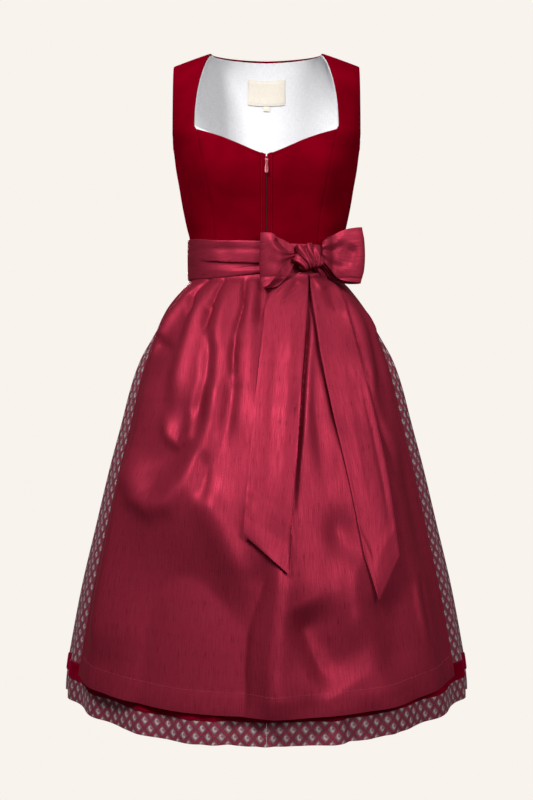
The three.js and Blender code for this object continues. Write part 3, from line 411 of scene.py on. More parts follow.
TAIL_RIGHT_FORMS: tuple[Form, ...] = (
    Fold(4.0, 5, 7, ((76, -384), (84, -398), (92, -410)), 1.8, 0.2, 0.5),
    Fold(-4.5, 8, 10, ((96, -398), (104, -420), (108, -446)), 2.0, 0.2, 0.5),
    Fold(2.5, 8, 6, ((112, -394), (124, -420), (134, -470)), 2.0, 0.2, 0.5),
    Fold(-1.3, 1.6, 5, ((146, -560), (162, -640), (177, -720), (183, -770)), 1.3, 0.3, 0.3),
    Fold(1.2, 7, 7, ((112, -500), (128, -600), (150, -740)), 2.0, 0.3, 0.3),
)


# ---------------------------------------------------------------- the surfaces that the pieces follow


def ring_point(ring: SimpleNamespace, angle: Grid, z: Grid, out: Grid | float = 0.0) -> Grid:
    """Points of a ring round the body.

    Args:
        ring: its half width, its depth to the front and back, and how square it is.
        angle: angle from the middle of the front, in radians.
        z: height.
        out: how far out of the ring.
    Returns:
        The points, with x, y and z on a new last axis.
    """
    across = signed_power(np.sin(angle), 2 / ring.power)
    along = signed_power(np.cos(angle), 2 / ring.power)
    depth = np.where(along > 0, ring.front, ring.back)
    return np.stack(np.broadcast_arrays((ring.half + out) * across, -(depth + out) * along, z * 1.0), -1)


def ring_angle(ring: SimpleNamespace, x: Grid) -> Grid:
    """The angle from the middle of the front at which a ring is this far to the side."""
    return np.sign(x) * np.arcsin(np.clip(np.abs(x) / ring.half, 0, 1) ** (ring.power / 2))


def degrees_aside(angle: Grid) -> Grid:
    """How far an angle in radians is from the middle of the front, in degrees from 0 to 180."""
    return np.abs(np.degrees(np.arctan2(np.sin(angle), np.cos(angle))))


def grown(ring: SimpleNamespace, by: Grid | float) -> SimpleNamespace:
    """A ring with this much more on every side."""
    return SimpleNamespace(half=ring.half + by, front=ring.front + by, back=ring.back + by, power=ring.power)


def bodice_point(angle: Grid, z: Grid) -> Grid:
    """Points on the outer face of the bodice, the bust included."""
    point = ring_point(BODICE.at(z), angle, z)
    aside = (np.abs(point[..., 0]) - BUST.x) / BUST.wide
    above = (point[..., 2] - BUST.z) / BUST.tall
    point[..., 1] -= np.where(point[..., 1] < 0, BUST.depth * np.exp(-(aside**2) - above**2), 0)
    return point


def bodice_angle(x: Grid | float, z: Grid) -> Grid:
    """The angle at which the bodice is this far to the side."""
    return ring_angle(BODICE.at(z), np.asarray(x, float))


def side_seam_angle(z: Grid, gaps: float) -> Grid:
    """The angle of the side seam, or of a line this many gaps from it towards the back."""
    ring = BODICE.at(z)
    return np.pi / 2 + np.sign(gaps) * (abs(gaps) * SEAM_GAP / 2 / ring.front) ** (ring.power / 2)


def normals(grid: Grid) -> Grid:
    """The outward direction of a grid whose rows go up and whose columns go to the right."""
    across, up = np.gradient(grid, axis=1, edge_order=2), np.gradient(grid, axis=0, edge_order=2)
    normal = np.cross(across, up)
    return normal / np.maximum(np.linalg.norm(normal, axis=-1, keepdims=True), 1e-9)


def moved(grid: Grid, distance: Grid | float) -> Grid:
    """The same grid, moved out of its outer face, or into it by a negative distance."""
    return grid + normals(grid) * np.asarray(distance, float)[..., None]


def mirrored(grid: Grid) -> Grid:
    """A grid on the other side of the body."""
    return (grid * np.array([-1.0, 1.0, 1.0]))[:, ::-1]


def both_sides(grid: Grid) -> tuple[tuple[str, Grid], ...]:
    """The name and shape of a panel on the right of the body, and of its mirror image on the left."""
    return ("right", grid), ("left", mirrored(grid))


def lengths(grid: Grid, axis: int) -> Grid:
    """How far along the cloth each point is from the first one of its row or column."""
    step = np.linalg.norm(np.diff(grid, axis=axis), axis=-1)
    start = np.zeros_like(np.take(step, [0], axis=axis))
    return np.cumsum(np.concatenate([start, step], axis=axis), axis=axis)


def insets(grid: Grid) -> SimpleNamespace:
    """How far each point is from the left, right, bottom and top edge of its cloth."""
    across, up = lengths(grid, 1), lengths(grid, 0)
    return SimpleNamespace(left=across, right=across[:, -1:] - across, bottom=up, top=up[-1:] - up)


def crown_point(base: Grid, top: Grid, rise: Grid) -> Grid:
    """Points of a strap over the shoulder; rise goes from 0 at its base to a right angle at the top."""
    climb = np.sin(rise)
    return np.stack([
        mix(base[..., 0], top[..., 0], climb**2),
        top[..., 1] + (base[..., 1] - top[..., 1]) * np.cos(np.minimum(rise, np.pi / 2 - 1e-6)) ** STRAP_CROWN,
        mix(base[..., 2], top[..., 2], climb)], -1)


def strap_top(share: Grid, y: float) -> Grid:
    """The top edge of a strap, from its inner edge at 0 to its outer edge at 1."""
    share = np.asarray(share, float)
    x = mix(STRAP.inner_x, STRAP.outer_x, share)
    return np.stack([x, np.full_like(share, y), STRAP.outer_top * share], -1)


def upper_back_point(across: Grid, up: Grid) -> Grid:
    """Points of the upper back: across runs from -1 to 1, and up from 0 at the base to 1 at the top edge."""
    across, up = np.broadcast_arrays(np.asarray(across, float), np.asarray(up, float))
    aside = np.abs(across)
    z = np.full(aside.shape, STRAP.back_base)
    base = bodice_point(np.pi - aside * bodice_angle(STRAP_BASE.outer_x, z), z)
    turn = np.minimum(1, aside / NECK_SHARE) * np.pi / 2
    neck = np.stack([
        STRAP.inner_x * np.sin(turn),
        STRAP.ridge_y + NECKLINE.back_depth * np.cos(turn),
        NECKLINE.back_top * np.cos(turn) + NECKLINE.side_bulge * np.sin(2 * turn)], -1)
    ridge = strap_top(np.maximum(0, aside - NECK_SHARE) / (1 - NECK_SHARE), STRAP.ridge_y)
    top = np.where((aside > NECK_SHARE)[..., None], ridge, neck)
    top[..., 1] += SEAM_GAP / 2
    over = crown_point(base, top, up * np.pi / 2)
    straight = np.stack([
        mix(base[..., 0], top[..., 0], up**2),
        top[..., 1] + (base[..., 1] - top[..., 1]) * (1 - up**2),
        mix(base[..., 2], top[..., 2], up)], -1)
    point = mix(straight, over, smooth(aside / NECK_SHARE)[..., None])
    point[..., 0] *= np.where(across < 0, -1, 1)
    return point


def hem_lift(angle: Grid, z: Grid) -> Grid:
    """How much higher the cloth hangs at this angle, from nothing at the hips to the whole lift at the hem."""
    aside = degrees_aside(angle)
    return HEM_LIFT.at(aside).lift * smooth((LIFT_FROM - z) / (LIFT_FROM - HEM_Z))


def gathers(angle: Grid, z: Grid) -> Grid:
    """The uneven small gathers of the skirt, which die away under the apron."""
    aside = degrees_aside(angle)
    free = smooth((aside - APRON.at(z).edge + 3) / 9)
    wander = 46 * angle + 1.3 * np.sin(3 * angle + 0.4) + 0.6 * np.sin(11 * angle)
    uneven = 0.75 + 0.25 * np.sin(7 * angle + 1.0) + 0.2 * np.sin(17 * angle)
    sharp = 0.5 + 0.5 * np.cos(wander)
    return GATHERS.at(z).depth * free * uneven * (2 * sharp**1.6 - 1)


def skirt_point(angle: Grid, z: Grid, out: Grid | float = 0.0) -> Grid:
    """Points on the outer face of the skirt, or this far out of it."""
    ring = SKIRT.at(z)
    plain = ring_point(ring, angle, z)
    dips = np.where(plain[..., 1] < 0, lifted(HEM_FORMS, plain[..., 0], plain[..., 2]), 0)
    drift = 0.25 * np.sin(3 * angle + 0.7) + 0.18 * np.sin(5 * angle)
    # The apron's weight calms the flares in front.
    calm = 1 - 0.5 * smooth((108 - degrees_aside(angle)) / 30)
    flares = calm * ring.wave * np.cos(FLARES * angle + drift * (np.abs(np.sin(angle / 2)) ** 2) * 3)
    point = ring_point(ring, angle, z, flares + dips + gathers(angle, z) + out)
    point[..., 2] += hem_lift(angle, z)
    return point


def apron_relief(angle: Grid, z: Grid) -> Grid:
    """How far the apron stands out over the crests of the skirt, with all its pleats and folds."""
    aside = np.degrees(angle)
    inside = APRON.at(z).edge - np.abs(aside)
    total = APRON_STAND.at(z).lift * smooth((inside + 1) / 30)
    for top, bottom, start, end, depth, width in APRON_FOLDS:
        down = np.clip((start - z) / (start - max(end, HEM_Z)), 0, 1)
        fade = smooth((start - z) / FOLD_FADE) * smooth((z - end) / FOLD_FADE)
        total = total + depth * fade * bell(aside - mix(top, bottom, down), width)
    ring = SKIRT.at(z)
    place = ring_point(ring, angle, z, 10.0)
    total = total + lifted(APRON_FORMS, place[..., 0], np.broadcast_to(z, place[..., 0].shape))
    total = total * smooth((inside + 1) / 12) * smooth((82 - np.abs(aside)) / 26)
    floor = 0.6 - APRON.at(z).gap
    return floor + np.logaddexp(0, (total - floor) * 1.1) / 1.1


def apron_out(z: Grid) -> Grid:
    """How far out of the skirt's ring the apron's outer face lies before its folds."""
    return SKIRT.at(z).wave + APRON.at(z).gap + CLOTH


def apron_point(angle: Grid, z: Grid, out: Grid | float = 0.0) -> Grid:
    """Points on the outer face of the apron, or this far out of it."""
    point = ring_point(SKIRT.at(z), angle, z, apron_out(z) + apron_relief(angle, z) + out)
    point[..., 2] += hem_lift(angle, z)
    return point


def apron_level(across: Grid, level: Grid) -> Grid:
    """The height of a line of the apron that lies at this level in its middle, and rises to its corners."""
    low = smooth((APRON_CORNER.start - level) / (APRON_CORNER.start - APRON_HEM))
    return level + APRON_CORNER.rise * across**2 * low


def over_apron(x: Grid, z: Grid, clearance: Grid) -> Grid:
    """Points of a cloth that lies on the apron and bridges its smaller folds."""
    held = np.minimum(z, APRON_TOP)
    ring = SKIRT.at(held)
    angle = ring_angle(ring, x)
    around = [(math.radians(aside), up) for aside in (-9, -6, -3, 0, 3, 6, 9) for up in (-9, 9)]
    near = [apron_relief(angle + aside, held + up) for aside, up in around]
    low = apron_out(held) + softened_max(near, 0.9)
    if low.ndim == 2 and low.shape[1] > 20:
        # The cloth spans the small waves under it, so its own surface stays even across.
        span = 11
        window = np.hanning(2 * span + 1)
        padded = np.pad(low, ((0, 0), (span, span)), mode="edge")
        even = np.apply_along_axis(np.convolve, 1, padded, window / window.sum(), mode="valid")
        low = even + np.maximum(low - even, 0).max(axis=1, keepdims=True) * 0.8
    sash = (SASH_RING.front - ring.front) * smooth((z - SASH_EDGE.at(20).bottom + 24) / 14)
    lift = softened_max([low, sash], 1.4) + clearance
    wide = grown(ring, lift)
    return ring_point(wide, ring_angle(wide, x), z)


def dressed_front(x: Grid, z: Grid, out: float) -> Grid:
    """Points over the dressed front: the sash at the waist, and the crests of the apron below it."""
    held = np.minimum(z, APRON_TOP)
    below = grown(SKIRT.at(held), apron_out(held) + APRON.at(held).ease + out)
    sash = grown(SASH_RING, out)
    y_sash = ring_point(sash, ring_angle(sash, x), z)
    y_below = ring_point(below, ring_angle(below, x), z)
    return np.where((np.asarray(z) > SASH_BOTTOM)[..., None], y_sash, y_below)


# ---------------------------------------------------------------- making pieces


class Held(Enum):
    """How a cut of cloth is held in the dress."""

    FITTED = "stretched"
    GATHERED = "gathered"
    DRAPED = "draped"
    FOLDED = "folded"
    LAID = "laid"
    HUNG = "hung"


@dataclass
class Cut:
    """One cut of cloth on its way to becoming a piece: the grid of its outer face and how it was laid flat."""

    name: str
    node: str
    grid: Grid
    finish: Material
    slot: str
    thickness: float = CLOTH
    held: Held = Held.FITTED
    flat: tuple[float, float] | None = None
    weave: Grid | None = None
    rests_on: tuple[str, ...] = ()
    with_pieces: tuple[Piece, ...] = field(default=())


def unrolled(grid: Grid) -> Grid:
    """Where each point of a fitted cloth lay before it was sewn: its run from the middle of its row, and up."""
    across, up = lengths(grid, 1), lengths(grid, 0)
    middle = grid.shape[1] // 2
    column = slice(middle, middle + 1)
    return np.stack([across - across[:, column], np.broadcast_to(up[:, column], across.shape)], -1)


def area_of(grid: Grid) -> float:
    """The area of a grid, in square metres."""
    first = grid[1:, 1:] - grid[:-1, :-1]
    second = grid[1:, :-1] - grid[:-1, 1:]
    return float(np.linalg.norm(np.cross(first, second), axis=-1).sum() / 2 * METRE**2)


def only(piece: Piece) -> None:
    """Selects one object and nothing else."""
    bpy.ops.object.select_all(action="DESELECT")
    piece.select_set(True)
    bpy.context.view_layer.objects.active = piece


def apply_modifiers(piece: Piece) -> None:
    """Applies all modifiers of one object, in order."""
    only(piece)
    for modifier in list(piece.modifiers):
        bpy.ops.object.modifier_apply(modifier=modifier.name)


def mesh_object(name: str, spots: Grid, faces: Sequence) -> Piece:
    """A new object in the scene.

    Args:
        name: its name.
        spots: its points, in metres.
        faces: the numbers of the points of each face.
    Returns:
        The object.
    """
    mesh = bpy.data.meshes.new(name)
    mesh.from_pydata(np.asarray(spots).tolist(), [], faces)
    piece = bpy.data.objects.new(name, mesh)
    bpy.context.scene.collection.objects.link(piece)
    return piece


def close_holes(sides: int, merge: float = 0.0) -> None:
    """Closes the active object's holes, faces it outwards and shades it smooth.

    Args:
        sides: the most sides that a hole may have.
        merge: how near to each other points are made one first, in metres.
    """
    bpy.ops.object.mode_set(mode="EDIT")
    bpy.ops.mesh.select_all(action="SELECT")
    if merge:
        bpy.ops.mesh.remove_doubles(threshold=merge)
    bpy.ops.mesh.fill_holes(sides=sides)
    bpy.ops.mesh.normals_make_consistent(inside=False)
    bpy.ops.object.mode_set(mode="OBJECT")
    bpy.ops.object.shade_smooth()


def cloth_object(name: str, grid: Grid, weave: Grid) -> Piece:
    """A single layer of cloth over a grid, with its weave as a UV map in metres."""
    rows, columns = grid.shape[:2]
    index = np.arange(rows * columns).reshape(rows, columns)
    faces = np.stack([index[:-1, :-1], index[:-1, 1:], index[1:, 1:], index[1:, :-1]], -1).reshape(-1, 4)
    piece = mesh_object(name, grid.reshape(-1, 3) * METRE, faces.tolist())
    flat = (weave.reshape(-1, 2) * METRE)[faces.reshape(-1)]
    piece.data.uv_layers.new(name="weave").data.foreach_set("uv", flat.astype(np.float32).ravel())
    return piece


def dress(piece: Piece, finish: Material, slot: str, body: str = GARMENT, *nodes: str) -> None:
    """Gives a piece its finish, hangs it on the body that it rides on and hides the solids that it stands for."""
    piece.data.materials.clear()
    piece.data.materials.append(finish)
    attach(piece, body)
    if nodes:
        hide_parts(*nodes)
    LOG.info("%s: %d faces", piece.name, len(piece.data.polygons))


def sew(cut: Cut) -> Piece:
    """Makes a piece of cloth: a wall of its thickness behind the grid, finished.

    Args:
        cut: the cut of cloth.
    Returns:
        The finished piece.
    """
    weave = unrolled(cut.grid) if cut.weave is None else cut.weave
    piece = cloth_object(cut.name, cut.grid, weave)
    wall = piece.modifiers.new("wall", "SOLIDIFY")
    wall.thickness = cut.thickness * METRE
    wall.offset = -1
    apply_modifiers(piece)
    bpy.ops.object.shade_smooth_by_angle(angle=math.radians(50))
    dress(piece, cut.finish, cut.slot, GARMENT, cut.node)
    if cut.flat is None:
        across, up = lengths(cut.grid, 1), lengths(cut.grid, 0)
        flat = (max(float(across[:, -1].max()) * METRE, 0.01), max(float(up[-1].max()) * METRE, 0.01))
        area = min(area_of(cut.grid), flat[0] * flat[1])
    return piece


@dataclass(frozen=True)
class Thread:
    """A row of stitches: how long each is, how far apart they start, and how thick the thread is, in mm."""

    length: float = 2.0
    pitch: float = 3.0
    radius: float = 0.22

    def run(self, name: str, line: Grid, out: Grid, finish: Material, slot: str) -> Piece:
        """Lays stitches along a line.

        Args:
            name: name of the piece.
            line: points of the line, in mm.
            out: the direction out of the cloth at each point.
            finish: the thread.
            slot: the material slot, which is not used.
        Returns:
            The row of stitches as one piece.
        """
        passed = np.concatenate([[0], np.cumsum(np.linalg.norm(np.diff(line, axis=0), axis=1))])
        starts = np.arange(self.pitch / 2, passed[-1] - self.length, self.pitch)
        ends = starts + self.length

        def place(at: Grid, values: Grid) -> Grid:
            return np.stack([np.interp(at, passed, values[:, k]) for k in range(3)], -1)

        lift = place(starts, out)
        lift /= np.linalg.norm(lift, axis=1, keepdims=True)
        first, last = place(starts, line), place(ends, line)
        along = last - first
        along /= np.linalg.norm(along, axis=1, keepdims=True)
        side = np.cross(along, lift)
        # Rings of a stitch: share of its length, width and height in radii of the thread.
        rings = ((0.0, 0.25, -0.3), (0.25, 1.0, 0.25), (0.75, 1.0, 0.25), (1.0, 0.25, -0.3))
        vertices, faces, sides = [], [], 6
        for share, wide, high in rings:
            for k in range(sides):
                turn = 2 * math.pi * k / sides
                offset = side * math.cos(turn) * wide + lift * (math.sin(turn) * wide + high)
                vertices.append(mix(first, last, share) + offset * self.radius)
        spots = np.stack(vertices, 1)
        count = spots.shape[1]
        for low in range(0, (len(rings) - 1) * sides, sides):
            for k in range(sides):
                after = (k + 1) % sides
                faces.append((low + k, low + after, low + sides + after, low + sides + k))
        quads = np.array(faces)[None] + (np.arange(len(starts)) * count)[:, None, None]
        piece = mesh_object(name, spots.reshape(-1, 3) * METRE, quads.reshape(-1, 4).tolist())
        only(piece)
        close_holes(sides)
        dress(piece, finish, slot)
        return piece


# ---------------------------------------------------------------- finishes


def colour(code: str) -> tuple[float, float, float, float]:
    """The linear colour of an sRGB hex code."""
    parts = [int(code[k:k + 2], 16) / 255 for k in (1, 3, 5)]
    linear = [part / 12.92 if part <= 0.04045 else ((part + 0.055) / 1.055) ** 2.4 for part in parts]
    return linear[0], linear[1], linear[2], 1.0


def feed(node: bpy.types.Node, inputs: dict) -> None:
    """Sets each input of a node, by name or number, to its value, or links it to the output that feeds it."""
    for name, value in inputs.items():
        if isinstance(value, Socket):
            node.id_data.links.new(value, node.inputs[name])
        else:
            node.inputs[name].default_value = value


def add(tree: bpy.types.NodeTree, kind: str, inputs: dict | None = None, **settings: object) -> bpy.types.Node:
    """Adds a node to a material.

    Args:
        tree: the material's nodes.
        kind: the node's kind, after the word ShaderNode.
        inputs: for each input, by name or number, its value or the output that feeds it.
        settings: the node's own settings.
    Returns:
        The node.
    """
    node = tree.nodes.new("ShaderNode" + kind)
    for name, value in settings.items():
        setattr(node, name, value)
    feed(node, inputs or {})
    return node


class Weaver:
    """Short ways to write the sums of a woven pattern as nodes."""

    def __init__(self, tree: bpy.types.NodeTree) -> None:
        """Works on one material's nodes."""
        self.tree = tree

    def sum(self, operation: str, *values: object, clamp: bool = False) -> Socket:
        """One step of arithmetic."""
        inputs = dict(enumerate(values))
        return add(self.tree, "Math", inputs, operation=operation, use_clamp=clamp).outputs[0]

    def step(self, value: object, start: float, end: float, low: float = 0.0, high: float = 1.0) -> Socket:
        """Goes softly from low to high as the value goes from start to end."""
        inputs = {"Value": value, "From Min": start, "From Max": end, "To Min": low, "To Max": high}
        return add(self.tree, "MapRange", inputs, interpolation_type="SMOOTHSTEP").outputs["Result"]

    def blend(self, share: object, first: object, second: object) -> Socket:
        """A colour between two colours, each a hex code or an output."""
        ends = [colour(end) if isinstance(end, str) else end for end in (first, second)]
        return add(self.tree, "Mix", {0: share, 6: ends[0], 7: ends[1]}, data_type="RGBA").outputs[2]

    def noise(self, vector: object, scale: float = 1.0, detail: float = 2.0) -> Socket:
        """Soft noise from 0 to 1."""
        return add(self.tree, "TexNoise", {"Vector": vector, "Scale": scale, "Detail": detail}).outputs["Fac"]

    def threads(self, weave: object, across: float, along: float, detail: float = 1.0) -> Socket:
        """Soft noise with this many steps per metre across and along the cloth."""
        mapped = add(self.tree, "Mapping", {"Vector": weave, "Scale": (across, along, 1.0)}).outputs[0]
        return self.noise(mapped, 1.0, detail)

    def relief(self, height: object, distance: float, strength: float = 1.0, below: object = None) -> Socket:
        """Relief of this many metres."""
        inputs = {"Height": height, "Distance": distance, "Strength": strength}
        if below is not None:
            inputs["Normal"] = below
        return add(self.tree, "Bump", inputs).outputs[0]


class Finish:
    """What every finish shares: a material with one shader, and the cloth's own directions."""

    name = "finish"

    def start(self) -> tuple[Material, Weaver, bpy.types.Node]:
        """A new material, its weaver and its shader."""
        material = bpy.data.materials.new(self.name)
        material.use_nodes = True
        tree = material.node_tree
        tree.nodes.clear()
        shader = add(tree, "BsdfPrincipled")
        add(tree, "OutputMaterial", {"Surface": shader.outputs[0]})
        return material, Weaver(tree), shader

    @staticmethod
    def weave(weaver: Weaver) -> Socket:
        """The weave's directions on the cloth, in metres."""
        return add(weaver.tree, "UVMap", uv_map="weave").outputs[0]

    @staticmethod
    def place(weaver: Weaver) -> Socket:
        """The place in the dress, in metres."""
        return add(weaver.tree, "TexCoord").outputs["Object"]


@dataclass(frozen=True)
class Velvet(Finish):
    """Cotton velvet: a cut pile 1 mm deep, which drinks the light and glows a little where it turns away."""

    name: str = "cotton_velvet"
    deep: str = "#5C000D"
    lit: str = "#730012"
    glow: tuple[float, float, float, float] = (0.42, 0.0, 0.022, 1.0)
    sheen: float = 0.22

    def make(self) -> Material:
        """The velvet material."""
        material, weaver, shader = self.start()
        place = self.place(weaver)
        # Pile lies a little differently in patches some 60 mm wide, as after a hand has brushed it.
        patches = weaver.noise(place, 16.0, 3.0)
        # Pile tips, 0.9 mm apart, drawn twice as coarse as they are so that they show.
        pile = weaver.noise(place, 1100.0, 1.0)
        broad, fine = weaver.step(patches, 0.3, 0.7, 0.1, 0.8), weaver.step(pile, 0.3, 0.7, -0.15, 0.15)
        share = weaver.sum("ADD", broad, fine, clamp=True)
        feed(shader, {
            "Base Color": weaver.blend(share, self.deep, self.lit), "Normal": weaver.relief(pile, 0.0004, 0.35),
            "Roughness": 0.85, "Specular IOR Level": 0.0, "Sheen Weight": self.sheen, "Sheen Roughness": 0.35,
            "Sheen Tint": self.glow})
        return material


@dataclass(frozen=True)
class ShantungSatin(Finish):
    """Shantung satin: a glossy warp with slubs along it, so its crests shine and its hollows go almost black."""

    name: str = "shantung_satin"
    shade: str = "#74192B"
    crest: str = "#8B273A"
    slub: str = "#4C0C18"

    def make(self) -> Material:
        """The satin material."""
        material, weaver, shader = self.start()
        weave = self.weave(weaver)
        # Slubs are 0.5 mm thick and 15 to 50 mm long; they are drawn 1.4 mm thick so that they show.
        long = weaver.threads(weave, 760.0, 26.0, 2.0)
        short = weaver.threads(weave, 1500.0, 70.0, 2.0)
        dark = weaver.threads(weave, 800.0, 42.0, 0.0)
        # Weft ribs cross the slubs, 0.5 mm apart, drawn at 1 mm.
        ribs = weaver.threads(weave, 90.0, 1000.0, 0.0)
        tone = weaver.step(long, 0.25, 0.75, 0.2, 0.7)
        tone = weaver.sum("ADD", tone, weaver.step(short, 0.25, 0.75, -0.1, 0.2), clamp=True)
        tone = weaver.sum("ADD", tone, weaver.step(ribs, 0.3, 0.7, -0.07, 0.07), clamp=True)
        plain = weaver.blend(tone, self.shade, self.crest)
        slubbed = weaver.blend(weaver.step(dark, 0.68, 0.78, 0.0, 0.5), plain, self.slub)
        fine = weaver.relief(ribs, 0.00012, 0.5)
        # The floats of satin shine as metal does, in their own colour, so what turns from the lights goes deep.
        feed(shader, {
            "Base Color": slubbed, "Roughness": weaver.step(long, 0.3, 0.7, 0.55, 0.47),
            "Normal": weaver.relief(long, 0.0002, 0.25, fine), "Metallic": 0.5, "Specular IOR Level": 0.08,
            "Specular Tint": (1.0, 0.3, 0.38, 1.0)})
        return material


@dataclass(frozen=True)
class Jacquard(Finish):
    """Jacquard: a red ground with charted silver buds and charcoal spots, raised a little by their floats."""

    name: str = "charted_jacquard"
    ground: str = "#A32B44"
    ground_shade: str = "#741A33"
    silver: str = "#C6B6B6"
    silver_shade: str = "#8F8A8B"
    charcoal: str = "#523038"
    halo: str = "#8A5862"
    wide: float = 18.5
    tall: float = 22.6

    @staticmethod
    def oval(weaver: Weaver, place: Sequence, middle: Sequence[float], size: Sequence[float]) -> Socket:
        """How far out of an oval a place is: 1 on its line, less inside."""
        parts = []
        for at, start, half in zip(place, middle, size, strict=True):
            share = weaver.sum("MULTIPLY_ADD", at, 1 / half, -start / half)
            parts.append(weaver.sum("POWER", weaver.sum("ABSOLUTE", share), 2.0))
        return weaver.sum("ADD", *parts)

    def make(self) -> Material:
        """The jacquard material, with the bud of one repeat charted in millimetres."""
        material, weaver, shader = self.start()
        weave, calc = self.weave(weaver), weaver.sum
        apart = add(weaver.tree, "SeparateXYZ", {0: weave}).outputs
        half_wide, half_tall = self.wide / 2, self.tall / 2
        first, second = [], []
        for axis, size in ((0, self.wide), (1, self.tall)):
            turn = calc("FRACT", calc("MULTIPLY_ADD", apart[axis], 1000 / size, 40.0))
            inner = calc("MULTIPLY_ADD", turn, size, -size / 2)
            outer = calc("SUBTRACT", inner, calc("MULTIPLY", calc("SIGN", inner), size / 2))
            first.append(inner)
            second.append(outer)
        halves = zip(first, (half_wide, half_tall), strict=True)
        lattice = calc("ADD", *[calc("DIVIDE", calc("ABSOLUTE", inner), half) for inner, half in halves])
        beyond = calc("GREATER_THAN", lattice, 1.0)
        x, y = [calc("MULTIPLY_ADD", beyond, calc("SUBTRACT", outer, inner), inner)
                for inner, outer in zip(first, second, strict=True)]
        # The motif is a silver bud that leans over a dark heart, inside a soft halo of mixed threads.
        lean = calc("MULTIPLY_ADD", y, 0.22, x)
        bud = self.oval(weaver, (lean, y), (0.0, 0.0), (2.8, 4.1))
        heart = self.oval(weaver, (lean, y), (1.3, 0.8), (1.5, 2.0))
        rosette = calc("MULTIPLY", weaver.step(bud, 0.85, 1.1, 1.0, 0.0), weaver.step(heart, 0.7, 1.3))
        outline = weaver.step(bud, 1.2, 1.9, 1.0, 0.0)
        # A charcoal spot lies between two buds of a row.
        beside = calc("SUBTRACT", half_wide, calc("ABSOLUTE", x))
        spot = self.oval(weaver, (beside, y), (0.0, 0.0), (2.3, 2.9))
        leaf = weaver.step(spot, 0.6, 1.3, 1.0, 0.0)
        # Threads, 0.3 mm apart, drawn at 0.9 mm.
        threads = weaver.threads(weave, 1100.0, 260.0)
        ground = weaver.blend(weaver.step(threads, 0.3, 0.7), self.ground_shade, self.ground)
        # Each diamond of the chart is woven in mauve and charcoal, with lines of the red ground between them.
        twice = calc("MULTIPLY", beyond, 2.0)
        inside = calc("MULTIPLY", calc("SUBTRACT", twice, 1.0), calc("SUBTRACT", twice, lattice))
        inside = calc("ABSOLUTE", inside)
        cell = weaver.blend(weaver.step(inside, 0.5, 0.8), self.halo, self.charcoal)
        ground = weaver.blend(weaver.step(inside, 0.8, 0.9), cell, ground)
        halo = weaver.blend(calc("MULTIPLY", outline, 0.6), ground, self.halo)
        lined = weaver.blend(calc("MULTIPLY", leaf, 0.85), halo, self.charcoal)
        bright = weaver.blend(weaver.step(threads, 0.3, 0.75), self.silver_shade, self.silver)
        height = calc("ADD", rosette, calc("MULTIPLY", threads, 0.4))
        feed(shader, {
            "Base Color": weaver.blend(rosette, lined, bright), "Normal": weaver.relief(height, 0.00035, 0.6),
            "Roughness": weaver.step(rosette, 0.0, 1.0, 0.55, 0.36), "Metallic": 0.25, "Specular IOR Level": 0.2,
            "Sheen Weight": 0.25, "Sheen Roughness": 0.35, "Sheen Tint": (0.5, 0.38, 0.4, 1.0)})
        return material


@dataclass(frozen=True)
class PlainWeave(Finish):
    """A plain matt cloth: white cotton for the lining, cream ribbon for the label, tape for the zip."""

    name: str = "lining_cotton"
    light: str = "#DDDDDF"
    dark: str = "#D0D0D3"
    threads: float = 1400.0
    gloss: float = 0.85

    def make(self) -> Material:
        """The plain cloth material."""
        material, weaver, shader = self.start()
        weave = self.weave(weaver)
        # Warp and weft, each about 0.4 mm, drawn at 0.7 mm.
        warp = weaver.threads(weave, self.threads, self.threads / 12)
        weft = weaver.threads(weave, self.threads / 12, self.threads)
        both = weaver.sum("MULTIPLY", weaver.sum("ADD", warp, weft), 0.5)
        feed(shader, {
            "Base Color": weaver.blend(weaver.step(both, 0.35, 0.65), self.dark, self.light),
            "Normal": weaver.relief(both, 0.0002, 0.4), "Roughness": self.gloss, "Specular IOR Level": 0.25})
        return material


@dataclass(frozen=True)
class LacqueredMetal(Finish):
    """Zinc lacquered to match the velvet: a pinkish red with sharp small highlights."""

    name: str = "lacquered_zinc"
    body: str = "#A84A55"
    worn: str = "#C97F86"

    def make(self) -> Material:
        """The lacquered metal."""
        material, weaver, shader = self.start()
        wear = weaver.noise(self.place(weaver), 700.0, 3.0)
        feed(shader, {
            "Base Color": weaver.blend(weaver.step(wear, 0.35, 0.75), self.body, self.worn),
            "Roughness": weaver.step(wear, 0.3, 0.8, 0.22, 0.4), "Normal": weaver.relief(wear, 0.00005, 0.3),
            "Metallic": 0.85})
        return material


@dataclass(frozen=True)
class SewingThread(Finish):
    """Twisted polyester thread, a little glossy."""

    name: str = "thread"
    tone: str = "#A53A50"
    twist: str = "#3A1018"

    def make(self) -> Material:
        """The thread."""
        material, weaver, shader = self.start()
        twist = weaver.noise(self.place(weaver), 2600.0, 1.0)
        feed(shader, {
            "Base Color": weaver.blend(weaver.step(twist, 0.3, 0.7, 0.0, 0.35), self.tone, self.twist),
            "Normal": weaver.relief(twist, 0.0001, 0.4), "Roughness": 0.5})
        return material


